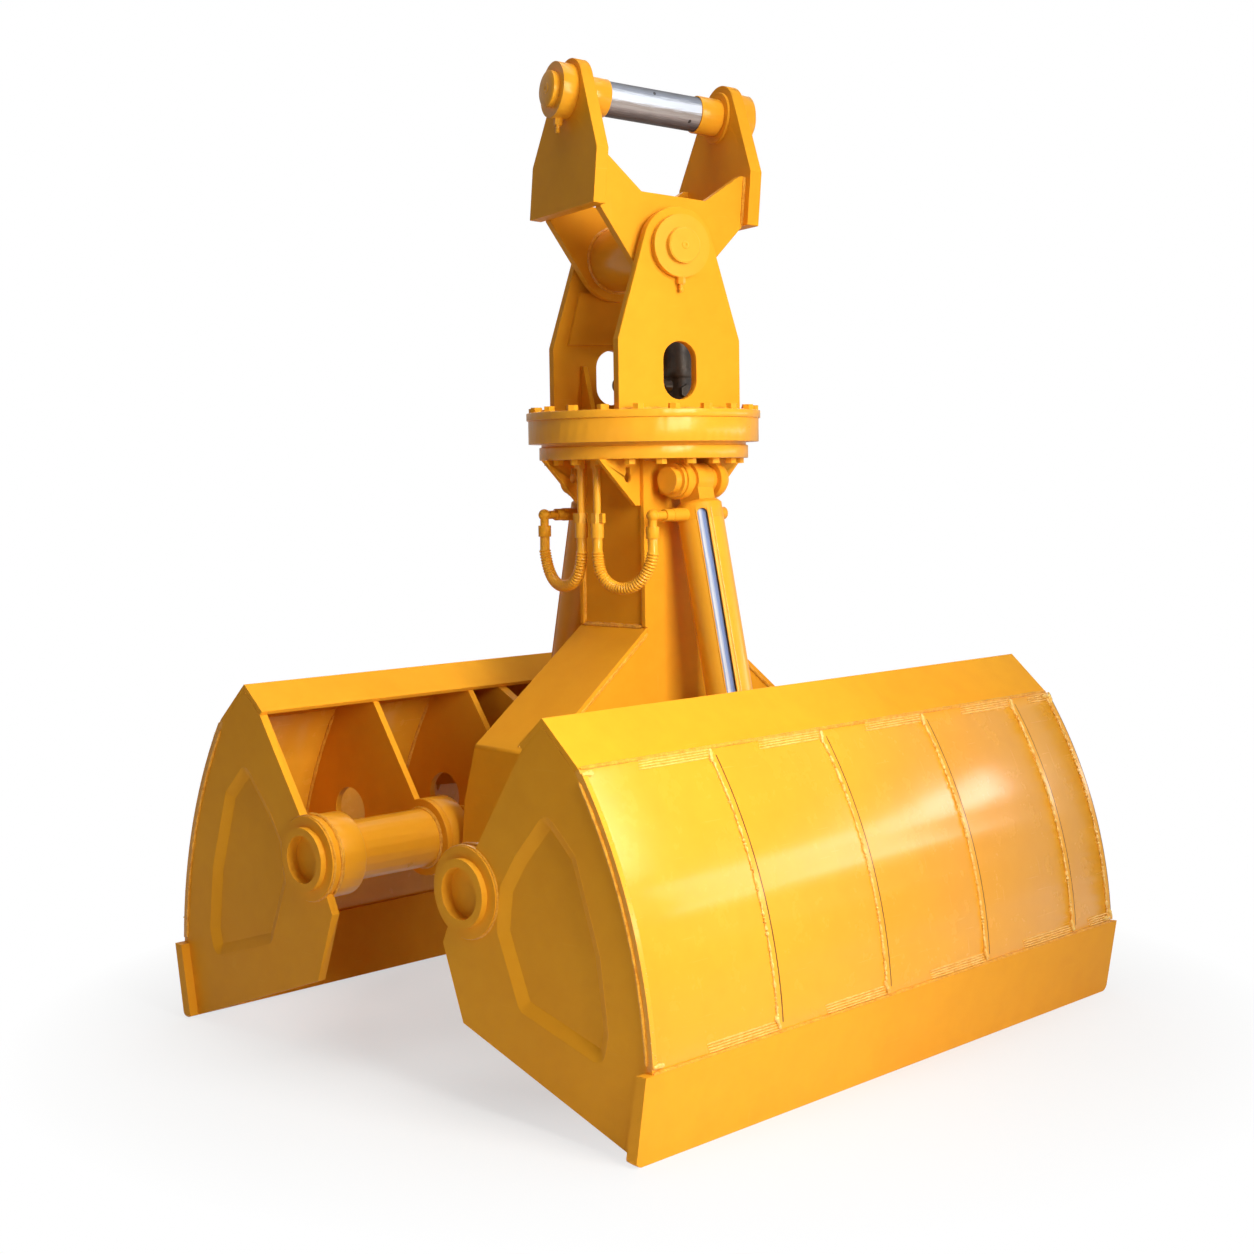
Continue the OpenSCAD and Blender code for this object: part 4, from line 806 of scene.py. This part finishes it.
def panel_frames(side, sign):
    """Sloping border inside the pressed panel of each end plate."""
    corners = [Vector((HINGE_X + x, HINGE_Z + z)) for x, z in PANEL]
    outer = rounded(corners, PANEL_CORNER, 8)
    rows = [(-1.5, -0.6), (-0.8, 0.35), (1.0, -0.3), (PANEL_SLOPE_W, 0.8 - PANEL_DEPTH),
            (PANEL_SLOPE_W + 2, -PANEL_DEPTH - 0.4)]
    loops = [inset(outer, step) for step, _ in rows]
    k = len(outer)
    faces = [[i * k + j, i * k + (j + 1) % k, (i + 1) * k + (j + 1) % k, (i + 1) * k + j]
             for i in range(len(rows) - 1) for j in range(k)]
    for end, word in ((-1, "front"), (1, "rear")):
        points = [Vector((p.x, end * (END_Y + rise), p.y))
                  for loop, (_, rise) in zip(loops, rows) for p in loop]
        Shape().join(points, faces).build(
            f"panel_border_{word}_{side}", f"shell_{side}", FINISH["plate"], "paint", sign, smooth=22)


def build_shells():
    """Welds, seams and panel borders of both shells."""
    for side, sign in SIDES:
        shell_welds(side, sign)
        seam_welds(side, sign)
        panel_frames(side, sign)


def column_welds(s):
    """Upright corners of the column, its upper edges and the long edges of the legs."""
    fork = leg_out_z(COVER_Y)
    for x in (-1, 1):
        for y in (-1, 1):
            corner_x, corner_y = x * PLATE_IN, y * (COVER_Y + SKIN)
            s.bead([(corner_x, corner_y, fork + 6), (corner_x, corner_y, FLANGE_LOW - 2)], 4.0, seed=61)
            plate_x, leg_x = x * PLATE_OUT, x * (PLATE_OUT + SKIN)
            s.bead([(plate_x, y * (COLUMN_Y - 1), FLANGE_LOW), (plate_x, y * 4, FLANGE_LOW)], 5.0, seed=67)
            upper = (leg_x, y * (COVER_Y + 1), leg_in_z(COVER_Y))
            knee = (leg_x, y * KNEE_Y, leg_in_z(KNEE_Y))
            s.bead([upper, knee], 4.5, seed=71)


def leg_welds(s):
    """Welds of the column covers, the legs' edges and hinge bosses, and two short beads at each knee."""
    fork = leg_out_z(COVER_Y)
    for y in (-1, 1):
        cover_y = y * (COVER_Y + 1)
        s.bead([(-PLATE_IN, cover_y, fork), (PLATE_IN, cover_y, fork)], 6.0, seed=73)
        s.bead([(-PLATE_IN, cover_y, FLANGE_LOW), (PLATE_IN, cover_y, FLANGE_LOW)], 5.0, seed=79)
        for x in (-1, 1):
            waist = (x * (WAIST_HALF - 5), y * KNEE_Y, WAIST_Z)
            s.bead([waist, (x * (KNEE_HALF - 3), y * KNEE_Y, KNEE_Z - 4)], 3.0, seed=83)
            boss = along_y(x * HINGE_X, HINGE_Z, y * (HINGE_PLATE_Y + SKIN))
            s.bead(ring(boss, HINGE_WELD_R, n=32), 4.0, seed=97, step=6, closed=True)
        for x in (KNEE_BEAD_X, KNEE_BEAD_X + KNEE_BEAD_GAP):
            short = [(x, y * at, leg_out_z(at) + SKIN) for at in (KNEE_BEAD_FROM, KNEE_BEAD_TO)]
            s.bead(short, 2.6, seed=127, step=5)


def build_frame():
    """All welds of the column and the legs."""
    s = Shape()
    column_welds(s)
    leg_welds(s)
    s.build("frame_welds", "frame", FINISH["weld"], "paint")


def nipples(name, body, matrix, spots):
    """Grease nipples: a hexagon nut, a neck and a round head under each spot."""
    s = Shape()
    for spot in spots:
        at = Matrix.Translation(spot)
        s.lathe(NIPPLE_NUT, at, 6)
        s.lathe(NIPPLE_HEAD, at, 20)
    s.turned(matrix).build(name, body, FINISH["turned"], "paint")


def head_welds():
    """Welds at the foot of the head lugs."""
    s = Shape()
    out, inner, half, foot = HEAD_LUG_OUT + SKIN, HEAD_LUG_IN - SKIN, HEAD_LUG_HALF, -CROSS_UP
    for x in (-1, 1):
        s.bead([(x * out, -half, foot), (x * out, half, foot)], 6.0, seed=101)
        s.bead([(x * inner, -half, foot), (x * inner, -HEAD_SLOT_HALF, foot)], 5.0, seed=103)
        s.bead([(x * inner, HEAD_SLOT_HALF, foot), (x * inner, half, foot)], 5.0, seed=103)
    s.turned(HEAD).build("head_welds", "head", FINISH["weld"], "paint")


def link_welds():
    """Welds between ears and webs of the link and round its cross tube."""
    s = Shape()
    for x in (-1, 1):
        for y in (-1, 1):
            web_x, ear_y = x * (WEB_OUT + SKIN), y * (EAR_IN - SKIN)
            s.bead([(web_x, ear_y, EAR_WELD_LOW), (web_x, ear_y, EAR_WELD_HIGH)], 5.0, seed=107)
        s.bead(ring(along_x(x * (WEB_IN - SKIN)), LINK_TUBE_R + SKIN), 6.0, seed=109, closed=True)
    for y in (-1, 1):
        for x in (-WEB_OUT - SKIN, WEB_IN):
            ear_y = y * (EAR_IN - SKIN)
            s.bead([(x, ear_y, EAR_WELD_LOW + 2), (x, ear_y, EAR_WELD_HIGH)], 4.0, seed=113)
    s.turned(LINK).build("link_welds", "link", FINISH["weld"], "paint")


def pin_ends():
    """Painted caps on both ends of the stick pin and the cross pin."""
    s = Shape()
    proud = STICK_PIN_END - STICK_PIN_FACE
    cap = [(PIN_R + 0.6, -proud - 0.5), (PIN_R + 1.6, -proud), (PIN_R + 1.6, 0.4), (PIN_R - 2.2, 2.6),
           (13.0, 2.6), (11.5, 4.0), (6.0, 4.0), (4.5, 2.7), (0.0, 2.7)]
    for y in (-1, 1):
        s.lathe(cap, along_y(0, LINK_H, y * STICK_PIN_END, y))
    s.turned(LINK).build("stick_pin_ends", "link", FINISH["turned"], "paint")
    s = Shape()
    cap = [(PIN_R - 1.0, -0.2), (PIN_R - 2.5, 0.9), (9.0, 0.9), (7.5, 2.4), (4.0, 2.4), (2.5, 0.9),
           (0.0, 0.9)]
    for x in (-1, 1):
        s.lathe(cap, along_x(x * CROSS_PIN_END, x))
    s.turned(HEAD).build("cross_pin_ends", "head", FINISH["turned"], "paint")


def build_upper():
    """Grease nipples, welds and pin caps of the head and the link."""
    nipples("cross_nipples", "head", HEAD, [(end * CROSS_NIPPLE_X, 0, CROSS_NIPPLE_Z) for end in (-1, 1)])
    nipples("stick_nipples", "link", LINK, [(0, end * STICK_NIPPLE_Y, STICK_NIPPLE_Z) for end in (-1, 1)])
    head_welds()
    link_welds()
    pin_ends()


def build_cylinders():
    """Rolled edges along the slot of each guard tube and the folded line beside it, whose lighter paint is
    a painted highlight.
    """
    edge = SLOT_HALF_ANGLE + SLOT_LIP
    for side, sign in SIDES:
        trim, fold = Shape(), Shape()
        for part, turn, r in ((trim, -edge, SLOT_LIP), (trim, edge, SLOT_LIP), (fold, FOLD_ANGLE, FOLD_R)):
            x, y = polar(SLOT_ANGLE + turn, GUARD_R + 0.1)
            section = [polar(a, r) for a in range(0, 360, 30)]
            part.sweep([(x, y, -SLOT_TOP), (x, y, -GUARD_END + 1)], section)
        body = f"barrel_{side}"
        # The folded line is a raised line; its lighter paint is a painted highlight along it.
        fold.turned(CYLINDER).build(f"guard_fold_painted_highlight_{side}", body, FINISH["ridge"], "paint", sign, smooth=60)
        trim.turned(CYLINDER).build(f"guard_trim_{side}", body, FINISH["turned"], "paint", sign, smooth=60)


# Studio, in metres and watts
FLOOR_R, FLOOR_Z = 30.0, -0.0005
GLOW_FROM, GLOW_TO, GLOW_NEAR = 0.7, 1.5, 0.55
MIRRORED_SHARE = 0.42
SKY_COLOUR, SKY_STRENGTH = (1.0, 0.9, 0.74), 0.13
WHITE = (1, 1, 1)


def panel_light(name, at, towards, size, power, colour=WHITE, spread=180):
    """A rectangular lamp that faces a point."""
    lamp = bpy.data.lights.new(name, "AREA")
    lamp.shape, lamp.size, lamp.size_y = "RECTANGLE", size[0], size[1]
    lamp.energy, lamp.color = power, colour
    lamp.spread = math.radians(spread)
    obj = bpy.data.objects.new(name, lamp)
    bpy.context.scene.collection.objects.link(obj)
    obj.location = at
    obj.rotation_euler = (Vector(towards) - Vector(at)).to_track_quat("-Z", "Y").to_euler()


def build_lights():
    """Key light on the near shell, a long strip for its highlight, and three soft fills."""
    panel_light("key_panel", at=(2.75, -0.75, 2.05), towards=(0.4, -0.92, 1.2), size=(1.4, 1.6), power=42,
                colour=(1.0, 0.99, 0.96), spread=100)
    panel_light("shine_panel", at=(3.1, 2.6, 1.25), towards=(0.6, 0.0, 0.55), size=(4.4, 0.34), power=31)
    panel_light("front_fill", at=(2.2, -5.0, 1.0), towards=(0, 0, 0.7), size=(3.0, 1.6), power=8)
    panel_light("left_panel", at=(-3.6, 3.4, 3.2), towards=(0, 0, 0.9), size=(2.6, 2.2), power=40)
    panel_light("top_panel", at=(0.2, 0.0, 5.2), towards=(0, 0, 0.8), size=(3.2, 3.2), power=77)


def build_floor():
    """A pale round floor that glows white for the camera and keeps the shadow near the bucket."""
    mesh = bpy.data.meshes.new("floor")
    n = 64
    edge = [(FLOOR_R * math.cos(2 * math.pi * i / n), FLOOR_R * math.sin(2 * math.pi * i / n), FLOOR_Z)
            for i in range(n)]
    mesh.from_pydata(edge, [], [list(range(n))])
    floor = bpy.data.objects.new("floor", mesh)
    bpy.context.scene.collection.objects.link(floor)
    look = Look("studio_floor")
    shade = look.mix(look.noise(2.0, 2.0), (0.80, 0.80, 0.80), (0.84, 0.84, 0.84))
    look.set(Base_Color=shade, Roughness=0.85)
    glow = look.add("ShaderNodeEmission", {}, {"Color": WHITE, "Strength": 1.0})
    seen = look.add("ShaderNodeLightPath", {}, {}, "Is Camera Ray")
    mirrored = look.add("ShaderNodeLightPath", {}, {}, "Is Glossy Ray")
    distance = look.add("ShaderNodeVectorMath", {"operation": "LENGTH"}, {0: look.coords}, "Value")
    away = look.level(distance, GLOW_FROM, GLOW_TO)
    share = seen * (GLOW_NEAR + away * (1 - GLOW_NEAR)) + mirrored * MIRRORED_SHARE
    both = look.add("ShaderNodeMixShader", {}, {0: share, 1: Value(look, look.shader.outputs[0]), 2: glow})
    output = next(n for n in look.tree.nodes if n.type == "OUTPUT_MATERIAL")
    look.feed(output.inputs["Surface"], both)
    mesh.materials.append(look.material)


def build_world():
    """Soft warm light from all sides, white for the camera and pale in reflections."""
    world = bpy.data.worlds.new("studio")
    bpy.context.scene.world = world
    world.use_nodes = True
    sky = Nodes(world.node_tree)
    sky.tree.nodes.clear()
    light = sky.add("ShaderNodeBackground", {}, {"Color": SKY_COLOUR, "Strength": SKY_STRENGTH})
    white = sky.add("ShaderNodeBackground", {}, {"Color": WHITE, "Strength": 1.0})
    seen = sky.add("ShaderNodeLightPath", {}, {}, "Is Camera Ray")
    mirrored = sky.add("ShaderNodeLightPath", {}, {}, "Is Glossy Ray")
    share = sky.add("ShaderNodeMath", {"operation": "MAXIMUM"}, {0: seen, 1: mirrored * MIRRORED_SHARE})
    both = sky.add("ShaderNodeMixShader", {}, {0: share, 1: light, 2: white})
    output = sky.tree.nodes.new("ShaderNodeOutputWorld")
    sky.feed(output.inputs["Surface"], both)


def build_studio():
    """Floor, surroundings, lamps and plain colours."""
    build_floor()
    build_world()
    build_lights()
    bpy.context.scene.view_settings.view_transform = "Standard"


aim_camera()
build_hoses()
finish_nodes()
build_shells()
build_frame()
build_upper()
build_cylinders()
build_studio()
